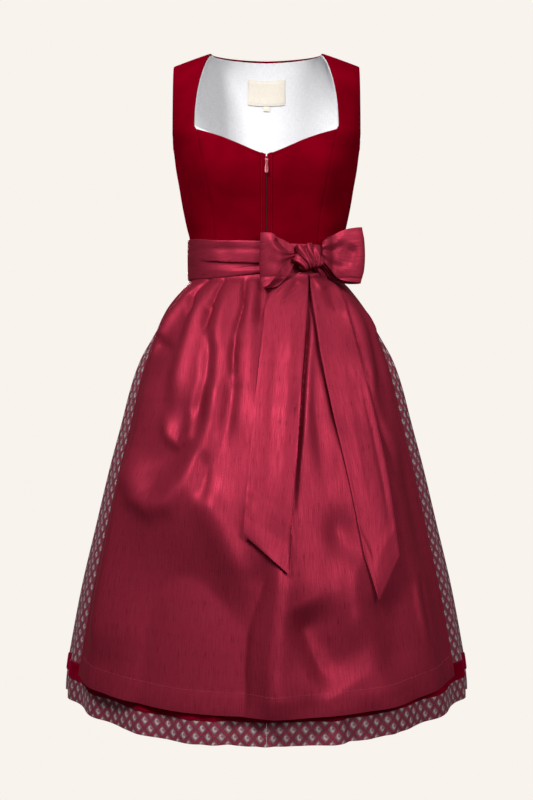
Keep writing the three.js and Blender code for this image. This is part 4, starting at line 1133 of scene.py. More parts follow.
class Finishes:
    """All finishes of the dress, made once."""

    def __init__(self) -> None:
        """Makes every material."""
        self.velvet = Velvet().make()
        self.ribbon = Velvet("ribbon_velvet", "#5A0011", "#84001F", (0.55, 0.02, 0.1, 1.0), 0.5).make()
        self.satin = ShantungSatin().make()
        self.jacquard = Jacquard().make()
        self.lining = PlainWeave().make()
        self.label = PlainWeave("label_ribbon", "#D9D2C7", "#CEC6B8", 1600.0, 0.6).make()
        self.tape = PlainWeave("zip_tape", "#4A0A14", "#32060D", 1400.0, 0.75).make()
        self.metal = LacqueredMetal().make()
        self.thread = SewingThread().make()
        self.dark_thread = SewingThread("velvet_thread", "#4A0009").make()
        self.pale_thread = SewingThread("pale_thread", "#D9B9BD").make()
        self.cream_thread = SewingThread("cream_thread", "#E6DCC8").make()


# ---------------------------------------------------------------- bodice


def shares(count: int) -> Grid:
    """Even shares from 0 to 1."""
    return np.linspace(0.0, 1.0, count)


@dataclass
class Bodice:
    """The velvet bodice: two front panels and one back side panel to each side, and the back on the fold."""

    finishes: Finishes
    rows: int = 84
    strap_rows: int = 44
    seam_dip: float = 0.45
    seam_wide: float = 1.8
    roll: float = 0.6
    band: float = 6.5

    def panel(self, low: GridPair, high: GridPair, columns: int, sag: Grid) -> Grid:
        """Rows of a panel between two edges.

        Args:
            low: angle and height of the left edge, row by row.
            high: angle and height of the right edge.
            columns: how many columns.
            sag: how far each row hangs in its middle.
        Returns:
            The grid of the panel.
        """
        across = shares(columns)[None]
        angle = mix(low[0][:, None], high[0][:, None], across)
        z = mix(low[1][:, None], high[1][:, None], across) - sag[:, None] * np.sin(np.pi * across)
        return bodice_point(angle, z)

    def front_centre(self) -> Grid:
        """Front centre panel, from the zip to the seam over the bust."""
        up = shares(self.rows)
        inner = mix(WAIST_Z, NECKLINE.point, up) + SEAM_GAP / 2
        outer = mix(WAIST_Z, NECKLINE.corner, up) + SEAM_GAP / 2
        seam = FRONT_SEAM.at(outer).x - SEAM_GAP / 2
        low, high = (bodice_angle(ZIP.half, inner), inner), (bodice_angle(seam, outer), outer)
        return self.panel(low, high, PANEL_COLUMNS, NECKLINE.sag * up**4)

    @staticmethod
    def front_strap(rises: Grid, columns: int) -> Grid:
        """The front of a strap, above the level at which the armhole stands upright."""
        z = np.full((1, columns), STRAP.front_base)
        x = mix(STRAP_BASE.inner_x, STRAP_BASE.outer_x, shares(columns))[None]
        base = bodice_point(bodice_angle(x, z), z)
        top = strap_top(shares(columns)[None], STRAP.ridge_y - SEAM_GAP / 2)
        return crown_point(base, top, rises[:, None])

    def front_side(self) -> Grid:
        """Front side panel, from the seam over the bust to the side seam, with the front of the strap."""
        columns = PANEL_COLUMNS
        up = shares(self.rows)
        inner = mix(WAIST_Z, NECKLINE.corner, up) + SEAM_GAP / 2
        outer = mix(WAIST_Z, UNDERARM_Z, up) + SEAM_GAP / 2
        seam = FRONT_SEAM.at(inner).x + SEAM_GAP / 2
        none = np.zeros(len(up))
        low, high = (bodice_angle(seam, inner), inner), (side_seam_angle(outer, -1), outer)
        body = self.panel(low, high, columns, none)
        over = shares(13)[1:]
        edge = ARMHOLE.at(over)
        z = mix(NECKLINE.corner, STRAP.front_base, over)
        x = mix(SEAM_CORNER_X, STRAP_BASE.inner_x, over)
        low, high = (bodice_angle(x, z), z), (np.radians(edge.angle), edge.z)
        underarm = self.panel(low, high, columns, np.zeros(len(over)))
        rises = shares(self.strap_rows)[1:] * np.pi / 2
        return np.concatenate([body, underarm, self.front_strap(rises, columns)])

    def back_centre(self) -> Grid:
        """Back panel on the fold, with the back of both straps."""
        place = np.sin(np.linspace(1, -1, 111) * np.pi / 2) * 0.25 + np.linspace(1, -1, 111) * 0.75
        z = mix(WAIST_Z + SEAM_GAP / 2, STRAP.back_base, 1 - (1 - shares(self.rows)) ** 1.6)[:, None]
        seam = BACK_SEAM.at(z).x - CLOSED_SEAM / 2
        body = bodice_point(np.pi - place[None] * bodice_angle(seam, z), np.broadcast_to(z, (len(z), len(place))))
        upper = upper_back_point(place[None], shares(self.strap_rows)[1:, None])
        return np.concatenate([body, upper])

    def back_side(self) -> Grid:
        """Back side panel, from the side seam to the curved back seam."""
        up = 1 - (1 - shares(self.rows)) ** 1.6
        inner = mix(WAIST_Z + SEAM_GAP / 2, STRAP.back_base, up)
        outer = mix(WAIST_Z, UNDERARM_Z, up) + SEAM_GAP / 2
        seam = BACK_SEAM.at(inner).x + CLOSED_SEAM / 2
        low, high = (side_seam_angle(outer, 1), outer), (np.pi - bodice_angle(seam, inner), inner)
        return self.panel(low, high, PANEL_COLUMNS, BACK_SAG * up**4)

    def finished(self, grid: Grid, left: float, right: float, top: float) -> Grid:
        """A panel with its seams drawn in and its top edge turned over and understitched.

        Args:
            grid: the panel.
            left: 1 where its left edge is a seam, 0 where it is a turned edge.
            right: the same for its right edge.
            top: how deep the understitched groove under its top edge is.
        Returns:
            The grid with these drawn into it.
        """
        edge = insets(grid)
        dips = self.seam_dip * (left * bell(edge.left, self.seam_wide) + right * bell(edge.right, self.seam_wide))
        groove = bell(edge.top - self.band, 1.5) * top
        turned = self.roll * (1 - smooth(edge.top / 2.2)) * (top > 0)
        for open_edge, inset in ((1 - left, edge.left), (1 - right, edge.right)):
            turned = turned + open_edge * self.roll * (1 - smooth(inset / 2.2))
            groove = groove + open_edge * 0.35 * bell(inset - self.band, 1.5)
        soft = 0.35 * np.sin(edge.left / 19) * np.sin(edge.bottom / 31 + 0.8)
        return moved(grid, soft - dips - groove - turned)

    def make(self) -> None:
        """Makes the seven panels."""
        velvet = self.finishes.velvet
        centre = self.front_centre()
        edge = insets(centre)
        # The neckline band is drawn in deepest beside the zip.
        near_zip = bell(edge.left, 34)
        centre = moved(centre, -1.3 * near_zip * bell(edge.top - 7, 2.4))
        panels = {
            "front_centre": self.finished(centre, 0.6, 1, 0.35),
            "front_side": self.finished(self.front_side(), 1, 1, 0.0),
            "back_side": self.finished(self.back_side(), 1, 1, 0.0),
        }
        for name, grid in panels.items():
            for side, shape in both_sides(grid):
                sew(Cut(f"velvet_{name}_{side}", f"{name}_{side}", shape, velvet, "velvet"))
        back = self.finished(self.back_centre(), 1, 1, 0.3)
        sew(Cut("velvet_back_centre", "back_centre", back, velvet, "velvet"))


# ---------------------------------------------------------------- lining and label


@dataclass
class Lining:
    """The white cotton lining inside the bodice, with the label and its size tab."""

    finishes: Finishes
    bodice: Bodice

    def front(self) -> Grid:
        """Lining of one front, from the zip to the side seam and up the strap."""
        columns = 30
        low = WAIST_Z + LINING.edge
        up = shares(50)
        inner = mix(low, NECKLINE.point - LINING.edge, up)
        outer = mix(low, UNDERARM_Z - LINING.edge, up)
        inside = bodice_angle(ZIP.half + LINING.edge, inner)
        seam = side_seam_angle(outer, -LINING.seam_gaps)
        body = self.bodice.panel((inside, inner), (seam, outer), columns, np.zeros(len(up)))
        over = shares(21)[1:]
        edge = ARMHOLE.at(np.clip((over * 4 - 1) / 3, 0, 1))
        z = mix(NECKLINE.point, STRAP.front_base + LINING.edge, over) - LINING.edge - 1.5 * np.sin(np.pi * over)
        x = mix(ZIP.half + LINING.edge, STRAP_BASE.inner_x, over)
        rim_z = mix(UNDERARM_Z - LINING.edge, edge.z - LINING.edge * (1 - over), smooth(over * 4))
        rim = mix(side_seam_angle(rim_z, -LINING.seam_gaps), np.radians(edge.angle - 1), smooth(over * 4))
        yoke = self.bodice.panel((bodice_angle(x, z), z), (rim, rim_z), columns, np.zeros(len(over)))
        rises = shares(30)[1:] * np.pi / 2 * LINING.reach
        return np.concatenate([body, yoke, self.bodice.front_strap(rises, columns)])

    @staticmethod
    def back() -> Grid:
        """Lining of the whole back, narrower beside the armholes."""
        place = np.linspace(1, -1, 97)
        z = mix(WAIST_Z + LINING.edge, STRAP.back_base, 1 - (1 - shares(56)) ** 1.6)[:, None]
        rise = np.clip((z - UNDERARM_Z + LINING.edge) / (STRAP.back_base - UNDERARM_Z + LINING.edge), 0, 1)
        widest = np.pi - side_seam_angle(z, LINING.seam_gaps)
        narrow = bodice_angle(STRAP_BASE.outer_x, np.full_like(z, STRAP.back_base))
        reach = mix(widest, narrow, rise**BACK_BEND)
        body = bodice_point(np.pi - place[None] * reach, np.broadcast_to(z, (len(z), len(place))))
        upper = upper_back_point(place[None], shares(40)[1:, None] * LINING.reach)
        return np.concatenate([body, upper])

    @staticmethod
    def patch(patch: SimpleNamespace, columns: int, rows: int) -> Grid:
        """A patch of the upper back between two heights and as far as its half width to either side."""
        z = mix(patch.bottom, patch.top, shares(rows))[:, None]
        up = (z - STRAP.back_base) / (NECKLINE.back_top - STRAP.back_base)
        x = mix(patch.half, -patch.half, shares(columns))[None] * np.ones_like(z)
        low, high = np.full(x.shape, -NECK_SHARE), np.full(x.shape, NECK_SHARE)
        for _ in range(30):
            middle = (low + high) / 2
            left = upper_back_point(middle, up)[..., 0] < x
            low, high = np.where(left, middle, low), np.where(left, high, middle)
        return upper_back_point(low, up)

    def label(self, size: SimpleNamespace, columns: int, rows: int) -> Grid:
        """The label or the size tab, a little puffed between its stitched edges."""
        lift = LINING.depth + LINING.cloth + LINING.label_lift
        grid = moved(self.patch(size, columns, rows), -lift)
        edge = insets(grid)
        near = np.minimum(np.minimum(edge.left, edge.right), np.minimum(edge.top, edge.bottom))
        return moved(grid, -0.5 * smooth(near / 6) + 0.15 * bell(near - 1.6, 0.8))

    def make(self) -> None:
        """Makes the three linings, the label and the size tab."""
        cotton = self.finishes.lining
        front = moved(self.front(), -LINING.depth)
        for side, shape in both_sides(front):
            sew(Cut(f"cotton_lining_front_{side}", f"lining_front_{side}", shape, cotton, "lining", LINING.cloth,
                    rests_on=(f"front_centre_{side}",)))
        back = moved(self.back(), -LINING.depth)
        edge = insets(back)
        ripple = 0.35 * np.sin(edge.left / 24 + 0.4) * np.sin(edge.bottom / 40)
        sew(Cut("cotton_lining_back", "lining_back", moved(back, ripple), cotton, "lining", LINING.cloth,
                rests_on=("back_centre",)))
        label = self.label(LABEL, 60, 40)
        stitches = self.border_stitches(label)
        sew(Cut("woven_label", "label", label, self.finishes.label, "label", LABEL.cloth, Held.LAID,
                rests_on=("lining_back",), with_pieces=(stitches,)))
        tab = self.label(SIZE_TAB, 14, 10)
        sew(Cut("woven_size_tab", "size_tab", tab, self.finishes.label, "label", SIZE_TAB.cloth, Held.LAID,
                rests_on=("lining_back",)))

    def border_stitches(self, label: Grid) -> Piece:
        """Stitches round the label, 1.6 mm in from its edge, on the side that shows."""
        inner = moved(label, -LABEL.cloth - 0.05)
        rows, columns = label.shape[:2]
        low, high, left, right = 1, rows - 2, 1, columns - 2
        loop = ([(low, c) for c in range(left, right)] + [(r, right) for r in range(low, high)]
                + [(high, c) for c in range(right, left, -1)] + [(r, left) for r in range(high, low, -1)])
        line = np.array([inner[r, c] for r, c in loop])
        out = -normals(label)
        lift = np.array([out[r, c] for r, c in loop])
        return Thread(1.6, 2.4, 0.16).run("label_stitches", line, lift, self.finishes.cream_thread, "label")


# ---------------------------------------------------------------- zip


def front_strip(start: float, end: float, top: Callable[[Grid], Grid], rows: int, columns: int) -> Grid:
    """A strip down the middle of the front, between two distances from the middle."""
    x = mix(start, end, shares(columns))[None] * np.ones((rows, 1))
    z = mix(ZIP.bottom, top(x), shares(rows)[:, None])
    return bodice_point(bodice_angle(x, z), z)


def neckline_at(x: Grid) -> Grid:
    """The height of the neckline beside the zip."""
    return mix(NECKLINE.point, NECKLINE.corner, np.abs(x) / SEAM_CORNER_X)


def joined(name: str, parts: Sequence[Piece]) -> Piece:
    """Several objects as one, at the origin."""
    bpy.ops.object.select_all(action="DESELECT")
    for part in parts:
        part.select_set(True)
    bpy.context.view_layer.objects.active = parts[0]
    if len(parts) > 1:
        bpy.ops.object.join()
    bpy.ops.object.transform_apply(location=True, rotation=True, scale=True)
    whole = bpy.context.view_layer.objects.active
    whole.name = name
    whole.data.name = name
    return whole


def baked() -> Piece:
    """The object that was added last, with its place, turn and scale worked into its points."""
    bpy.ops.object.transform_apply(location=True, rotation=True, scale=True)
    return bpy.context.object


def select_faces(mesh_object: Piece, wanted: Callable[[Grid, Grid], bool]) -> None:
    """Leaves selected, in edit mode, the faces whose middle and direction are wanted."""
    bpy.ops.object.mode_set(mode="EDIT")
    bpy.ops.mesh.select_mode(type="FACE")
    bpy.ops.mesh.select_all(action="DESELECT")
    bpy.ops.object.mode_set(mode="OBJECT")
    for face in mesh_object.data.polygons:
        face.select = bool(wanted(np.array(face.center), np.array(face.normal)))
    bpy.ops.object.mode_set(mode="EDIT")


@dataclass
class Zip:
    """The front zip: two velvet lips over it, its teeth and tape between them, its slider and its pull tab."""

    finishes: Finishes
    tooth_pitch: float = 1.7
    tooth_inset: float = 0.28
    tooth_out: float = 0.3
    pin_out: float = 4.9
    pull_length: float = 19.0
    belly: float = 2.7

    def lips(self) -> None:
        """Two narrow velvet lips, folded along the zip and stitched down along their outer edge."""
        strip = front_strip(ZIP.lip_inner, ZIP.lip_outer, lambda x: neckline_at(x) - 1, 90, 18)
        grid = moved(strip, SEAM_GAP + CLOTH)
        edge = insets(grid)
        crown = 0.5 * np.sin(np.pi * np.clip(edge.left / 7.9, 0, 1)) - 0.55 * (1 - smooth(edge.left / 1.0))
        stitch = -0.35 * bell(edge.right - 1.3, 0.6) - 0.4 * (1 - smooth(edge.right / 1.0))
        grid = moved(grid, crown + stitch)
        for side, shape in both_sides(grid):
            column = 2 if side == "left" else -3
            line, out = shape[:, column], normals(shape)[:, column]
            thread = self.finishes.dark_thread
            stitches = Thread(1.7, 2.6, 0.16).run(f"lip_stitches_{side}", line, out, thread, "velvet")
            sew(Cut(f"velvet_lip_{side}", f"zip_lip_{side}", shape, self.finishes.velvet, "velvet", CLOTH,
                    Held.LAID, rests_on=(f"front_centre_{side}",), with_pieces=(stitches,)))

    def tape(self) -> Piece:
        """The tape that carries the teeth."""
        half = ZIP.half - SEAM_GAP
        grid = front_strip(-half, half, lambda x: np.full_like(x, NECKLINE.point - 4), 60, 7)
        teeth = self.teeth()
        return sew(Cut("zip_tape", "zip_chain", grid, self.finishes.tape, "zip_tape", CLOTH, Held.LAID,
                       rests_on=("front_centre_left", "front_centre_right"), with_pieces=(teeth,)))

    def teeth(self) -> Piece:
        """The teeth, one modelled and copied down both sides of the tape."""
        bpy.ops.object.select_all(action="DESELECT")
        bpy.ops.mesh.primitive_cube_add(size=1.0, location=(0, 0, 0))
        bpy.context.object.scale = (1.25 * METRE, 0.9 * METRE, 0.75 * METRE)
        tooth = baked()
        select_faces(tooth, lambda middle, out: out[0] > 0.9)
        bpy.ops.transform.resize(value=(1.0, 0.8, 0.55), center_override=(0, 0, 0))
        bpy.ops.mesh.select_all(action="SELECT")
        bpy.ops.mesh.bevel(offset=0.12 * METRE, segments=1)
        bpy.ops.object.mode_set(mode="OBJECT")
        spots = np.array([v.co for v in tooth.data.vertices])
        faces = [list(face.vertices) for face in tooth.data.polygons]
        bpy.data.objects.remove(tooth)
        vertices, polygons = [], []
        heights = np.arange(ZIP.bottom + 3, ZIP.slider - 3, self.tooth_pitch)
        for z in heights:
            face_y = bodice_point(np.zeros(1), np.array([z]))[0, 1] * METRE
            for side in (-1, 1):
                height = z + (side > 0) * self.tooth_pitch / 2
                place = np.array([-side * self.tooth_inset * METRE, face_y - self.tooth_out * METRE, height * METRE])
                start = len(vertices)
                vertices += (spots * np.array([side, 1, 1]) + place).tolist()
                polygons += [[start + k for k in (face if side > 0 else face[::-1])] for face in faces]
        piece = mesh_object("zip_teeth", vertices, polygons)
        dress(piece, self.finishes.tape, "zip_tape")
        LOG.info("%d rows of teeth", len(heights))
        return piece

    def box(self, size: Place, place: Place, bevel: float) -> Piece:
        """A bevelled block of metal, in mm, about the hinge of the pull tab."""
        bpy.ops.object.select_all(action="DESELECT")
        at = self.hinge() + np.array(place)
        bpy.ops.mesh.primitive_cube_add(size=1.0, location=(at * METRE).tolist())
        bpy.context.object.scale = [part * METRE for part in size]
        block = baked()
        bpy.ops.object.mode_set(mode="EDIT")
        bpy.ops.mesh.select_all(action="SELECT")
        bpy.ops.mesh.bevel(offset=bevel * METRE, segments=3)
        bpy.ops.object.mode_set(mode="OBJECT")
        return block

    def rod(self, radius: float, length: float) -> Piece:
        """A round rod across the hinge, in mm."""
        bpy.ops.object.select_all(action="DESELECT")
        bpy.ops.mesh.primitive_cylinder_add(
            vertices=24, radius=radius * METRE, depth=length * METRE, location=(self.hinge() * METRE).tolist(),
            rotation=(0, math.pi / 2, 0))
        return baked()

    def hinge(self) -> Grid:
        """The place of the hinge of the pull tab, in mm."""
        face = bodice_point(np.zeros(1), np.array([ZIP.slider]))[0]
        return np.array([0.0, face[1] - self.pin_out, ZIP.slider])

    def slider(self) -> None:
        """The slider: a plate that narrows downwards, a stem between the lips, two ears and the pin."""
        plate = self.box((5.0, 1.2, 9.0), (0, 2.1, 0), 0.35)
        low = (self.hinge()[2] - 2.5) * METRE
        select_faces(plate, lambda middle, out: middle[2] < low)
        bpy.ops.transform.resize(value=(0.72, 1, 1), center_override=(0, 0, low))
        bpy.ops.object.mode_set(mode="OBJECT")
        stem = self.box((1.2, 2.2, 7.0), (0, 3.4, 0), 0.2)
        ears = [self.box((0.8, 3.2, 2.4), (side * 1.9, 0.4, 0), 0.3) for side in (-1, 1)]
        pin = self.rod(0.45, 3.8)
        slider = joined("slider_of_zip", [plate, stem, *ears, pin])
        bpy.ops.object.shade_smooth_by_angle(angle=math.radians(40))
        dress(slider, self.finishes.metal, "zip_metal", GARMENT, "zip_slider")

    def pull(self) -> None:
        """The pull tab: a drop of metal on a barrel that turns on the pin."""
        middle = self.hinge() - np.array([0, 0, self.pull_length - self.belly])
        bpy.ops.object.select_all(action="DESELECT")
        bpy.ops.mesh.primitive_cylinder_add(
            vertices=40, radius=self.belly * METRE, depth=1.2 * METRE, location=(middle * METRE).tolist(),
            rotation=(math.pi / 2, 0, 0))
        drop = baked()
        bpy.ops.object.mode_set(mode="EDIT")
        bpy.ops.mesh.select_mode(type="VERT")
        bpy.ops.mesh.select_all(action="DESELECT")
        bpy.ops.object.mode_set(mode="OBJECT")
        for vertex in drop.data.vertices:
            vertex.select = vertex.co.z > middle[2] * METRE + 1e-6
        bpy.ops.object.mode_set(mode="EDIT")
        stretch = (self.pull_length - self.belly - 0.6) / self.belly
        bpy.ops.transform.resize(value=(1, 1, stretch), center_override=(middle * METRE).tolist())
        select_faces(drop, lambda _, out: abs(out[1]) > 0.9)
        bpy.ops.mesh.inset(thickness=0.55 * METRE)
        bpy.ops.transform.resize(value=(1, 0.72, 1), center_override=(middle * METRE).tolist())
        bpy.ops.object.mode_set(mode="OBJECT")
        edge = drop.modifiers.new("edge", "BEVEL")
        edge.width, edge.segments = 0.22 * METRE, 3
        edge.limit_method, edge.angle_limit = "ANGLE", math.radians(35)
        apply_modifiers(drop)
        barrel = self.rod(1.1, 2.4)
        pull = joined("drop_of_zip", [drop, barrel])
        bpy.ops.object.shade_smooth_by_angle(angle=math.radians(40))
        dress(pull, self.finishes.metal, "zip_metal", PULL_TAB, "zip_pull")

    def make(self) -> None:
        """Makes the zip."""
        self.lips()
        self.tape()
        self.slider()
        self.pull()


# ---------------------------------------------------------------- skirt


@dataclass
class Skirt:
    """The gathered jacquard skirt, its front in two halves, and the velvet ribbon sewn on near its hem."""

    finishes: Finishes
    rows: int = 96
    cut_length: float = 0.75

    @staticmethod
    def angles(start: float, end: float, columns: int) -> Grid:
        """Even angles between two seams, each seam half a gap away."""
        gap = math.degrees(SEAM_GAP / 2 / HEM_RADIUS)
        return np.radians(np.linspace(start + gap, end - gap, columns))

    @staticmethod
    def levels(low: float, high: float, rows: int) -> Grid:
        """Heights from the bottom up, closer together towards the waist."""
        share = shares(rows)
        return mix(low, high, 1 - (1 - share) ** 1.35)

    def grid(self, start: float, end: float, columns: int, levels: Grid, out: float) -> Grid:
        """The skirt between two angles, at these heights."""
        angle = self.angles(start, end, columns)[None]
        z = levels[:, None] * np.ones_like(angle)
        return skirt_point(angle * np.ones_like(z), z, out)

    def weave(self, start: float, end: float, columns: int, levels: Grid) -> Grid:
        """The straight grain: the same width of cloth at every height, and its run up from the hem."""
        angle = self.angles(start, end, columns)[None]
        side = ring_point(SKIRT.at(levels), np.zeros(len(levels)), levels)
        up = np.concatenate([[0], np.cumsum(np.linalg.norm(np.diff(side, axis=0), axis=1))])
        return np.stack(np.broadcast_arrays(angle * CLOTH_WIDTH, up[:, None]), -1)

    def panel(self, name: str, node: str, start: float, end: float, columns: int) -> Piece:
        """One panel of the skirt, with its hem turned up inside."""
        levels = self.levels(HEM_Z, WAIST_Z - SEAM_GAP / 2, self.rows)
        grid = self.grid(start, end, columns, levels, 0.0)
        edge = insets(grid)
        seam = 0.7 * (bell(edge.left, 2) + bell(edge.right, 2))
        roll = 0.8 * (1 - smooth(edge.bottom / 3))
        flat = (math.radians(end - start) * CLOTH_WIDTH * METRE, self.cut_length)
        return sew(Cut(name, node, moved(grid, -seam - roll), self.finishes.jacquard, "jacquard", SKIRT_CLOTH,
                       Held.GATHERED, flat, self.weave(start, end, columns, levels), ("sash_long",)))

    def ribbon(self, name: str, node: str, start: float, end: float, columns: int) -> None:
        """One length of the ribbon, stitched down along both its edges."""
        levels = mix(RIBBON.bottom, RIBBON.top, shares(15))
        grid = self.grid(start, end, columns, levels, SEAM_GAP + CLOTH)
        edge = insets(grid)
        near = np.minimum(edge.bottom, edge.top)
        grid = moved(grid, 0.25 * smooth(near / 5) - 0.45 * (1 - smooth(near / 1.2)))
        out = normals(grid)
        stitches = []
        for row, where in ((1, "low"), (-2, "high")):
            stitches.append(Thread(2.0, 3.4, 0.17).run(f"{name}_stitches_{where}", grid[row], out[row],
                                                       self.finishes.dark_thread, "ribbon"))
        weave = self.weave(start, end, columns, levels)
        flat = (math.radians(end - start) * RIBBON.radius * METRE, (RIBBON.top - RIBBON.bottom) * METRE)
        sew(Cut(name, node, grid, self.finishes.ribbon, "ribbon", CLOTH - 0.2, Held.LAID, flat, weave,
                ("skirt_back",) if "back" in name else ("skirt_front_left", "skirt_front_right"),
                tuple(stitches)))

    def make(self) -> None:
        """Makes the skirt, its ribbon and the thread of its front seam."""
        self.panel("jacquard_front_left", "skirt_front_left", -SIDE_SEAM, 0, 150)
        self.panel("jacquard_front_right", "skirt_front_right", 0, SIDE_SEAM, 150)
        self.panel("jacquard_back", "skirt_back", SIDE_SEAM, 360 - SIDE_SEAM, 260)
        self.ribbon("ribbon_band_front", "ribbon_front", -SIDE_SEAM, SIDE_SEAM, 300)
        self.ribbon("ribbon_band_back", "ribbon_back", SIDE_SEAM, 360 - SIDE_SEAM, 260)
        z = np.linspace(HEM_Z + 2, RIBBON.bottom - 2, 24)
        line = skirt_point(np.full_like(z, 0.0008), z, 0.1)
        out = np.tile(np.array([0.0, -1.0, 0.1]), (len(z), 1))
        Thread(2.2, 3.0, 0.3).run("front_seam_thread", line, out, self.finishes.pale_thread, "jacquard")


# ---------------------------------------------------------------- apron


@dataclass
class Apron:
    """The satin apron, pleated into its waistband, its hem turned up and stitched."""

    finishes: Finishes
    rows: int = 150
    columns: int = 290
    hem_fold: float = 34.0
    side_hem: float = 9.0
    cloth_width: float = 760.0

    def levels(self) -> Grid:
        """Heights from the hem up, closer together where the pleats start."""
        share = shares(self.rows)
        return mix(APRON_HEM, APRON_TOP, 1 - (1 - share) ** 1.25)

    def places(self, across: Grid, level: Grid) -> GridPair:
        """The angle and height of points this far across, on lines at these levels."""
        z = apron_level(across, level)
        return np.radians(APRON.at(z).edge) * across, z

    def make(self) -> None:
        """Makes the apron and the stitches of its hem."""
        across = np.linspace(-1, 1, self.columns)[None] * np.ones((self.rows, 1))
        level = self.levels()[:, None] * np.ones_like(across)
        angle, z = self.places(across, level)
        grid = apron_point(angle, z)
        edge = insets(grid)
        groove = 0.5 * bell(edge.bottom - self.hem_fold, 2.2)
        step = 0.5 * (1 - smooth((edge.bottom - self.hem_fold) / 2))
        side = np.minimum(edge.left, edge.right)
        sides = 0.5 * bell(side - self.side_hem, 1.8) * smooth((-560 - level) / 60)
        roll = 0.7 * (1 - smooth(np.minimum(side, edge.bottom) / 2.5))
        grid = moved(grid, step - groove - sides - roll)
        up = lengths(grid, 0).mean(axis=1, keepdims=True)
        weave = np.stack([across * self.cloth_width / 2, up * np.ones_like(across)], -1)
        stitches = self.stitches(grid)
        sew(Cut("satin_apron", "apron", grid, self.finishes.satin, "satin", CLOTH, Held.GATHERED,
                (self.cloth_width * METRE, 0.70), weave,
                ("apron_waistband", "skirt_front_left", "skirt_front_right"), (stitches,)))

    def stitches(self, grid: Grid) -> Piece:
        """The stitches that hold the hem, along its inner fold."""
        up = lengths(grid, 0)
        out = normals(grid)
        columns = np.arange(4, grid.shape[1] - 4)
        rows = np.array([np.interp(self.hem_fold - 1, up[:, c], np.arange(len(up))) for c in columns])
        low = np.floor(rows).astype(int)
        part = (rows - low)[:, None]
        line = mix(grid[low, columns], grid[low + 1, columns], part) + out[low, columns] * 0.08
        thread = self.finishes.thread
        return Thread(2.0, 3.2, 0.2).run("apron_hem_stitches", line, out[low, columns], thread, "satin")


# ---------------------------------------------------------------- waist


@dataclass
class Waist:
    """The apron's waistband with the ties wrapped over it."""

    finishes: Finishes

    @staticmethod
    def band(start: float, end: float, columns: int, rows: int, ring: SimpleNamespace,
             edge: Table | SimpleNamespace, out: Callable[[Grid, Grid], Grid]) -> GridPair:
        """A band round the waist.

        Args:
            start: angle of its first end, in degrees.
            end: angle of its last end.
            columns: how many columns.
            rows: how many rows.
            ring: what it lies round.
            edge: its bottom and top edge, by angle where they change.
            out: how far its wrinkles lift it, by angle and by share of its height.
        Returns:
            Its grid and its weave, whose slubs run along it.
        """
        angle = np.linspace(start, end, columns)[None] * np.ones((rows, 1))
        up = shares(rows)[:, None] * np.ones_like(angle)
        rim = edge.at(angle) if isinstance(edge, Table) else edge
        z = mix(rim.bottom, rim.top, up)
        grid = ring_point(ring, np.radians(angle), z, out(angle, up))
        along = lengths(grid, 1)[rows // 2]
        height = lengths(grid, 0)
        return grid, np.stack([height, np.broadcast_to(along, height.shape)], -1)

    @staticmethod
    def long_wrinkles(angle: Grid, up: Grid) -> Grid:
        """The long tie lies in two soft lengthwise folds that gather towards the bow."""
        toward = smooth((angle + 60) / 70)
        line = np.interp(angle, (-56, -34, -18, 0, 26), (27, 26, 22.5, 17, 20))
        under = line - up * 60
        fold = 0.8 - 3.4 * smooth((under + 0.8) / 1.8) * (1 - 0.75 * smooth((under - 3) / 12))
        fold = fold * smooth((angle + 56) / 22)
        second = -1.1 * bell(up - 0.16 - 0.05 * toward, 0.05) * smooth((angle + 30) / 24)
        third = -0.9 * bell(up - 0.72 + 0.06 * np.sin(np.radians(angle * 3)), 0.09) * smooth((angle + 95) / 60)
        side = -1.3 * bell(angle + 72, 9) * bell(up - 0.3, 0.2)
        dent = -2.4 * bell(angle + 27, 8) * bell(up - 0.72, 0.24)
        bulge = 0.9 * np.sin(np.pi * up) * mix(0.7, 1.3, toward)
        behind = smooth((-110 - angle) / 20)
        back = behind * (0.8 * np.sin(np.radians(angle * 2.3)) * np.sin(up * 7 + np.radians(angle * 1.7))
                         - 0.9 * bell(up - 0.55 - 0.12 * np.sin(np.radians(angle * 1.9)), 0.07))
        return 0.6 + bulge + fold + second + third + side + dent + back

    @staticmethod
    def short_wrinkles(angle: Grid, up: Grid) -> Grid:
        """The short tie is drawn together towards the knot."""
        toward = smooth((84 - angle) / 44)
        return 0.5 + 0.8 * np.sin(np.pi * up) + toward * 0.9 * np.cos(up * 16 + angle / 9)

    @staticmethod
    def plain(angle: Grid, up: Grid) -> Grid:
        """A waistband is flat, with its edges drawn in."""
        return -0.4 * (1 - smooth(np.minimum(up, 1 - up) * 12)) + 0 * angle

    def make(self) -> None:
        """Makes the waistband and both ties."""
        band_ring = grown(BAND_RING, WAISTBAND.out)
        reach = WAISTBAND.reach
        bands = (
            ("waistband", "apron_waistband", Held.LAID, ("front_side_left", "front_side_right"),
             self.band(-reach, reach, 200, 16, band_ring, WAISTBAND, self.plain)),
            ("sash_long", "sash_long", Held.DRAPED, ("apron_waistband",),
             self.band(-275, 26, 400, 56, SASH_RING, SASH_EDGE, self.long_wrinkles)),
            ("sash_short", "sash_short", Held.DRAPED, ("apron_waistband",),
             self.band(41, 84.5, 90, 30, SASH_RING, SHORT_EDGE, self.short_wrinkles)),
        )
        for name, node, held, rests_on, (grid, weave) in bands:
            shape = self.edged(grid) if held is Held.DRAPED else grid
            sew(Cut(f"satin_{name}", node, shape, self.finishes.satin, "satin", CLOTH, held, weave=weave,
                    rests_on=rests_on))

    @staticmethod
    def edged(grid: Grid) -> Grid:
        """A tie with its long edges rolled under."""
        edge = insets(grid)
        near = np.minimum(edge.bottom, edge.top)
        return moved(grid, -0.7 * (1 - smooth(near / 1.8)))


# ---------------------------------------------------------------- bow


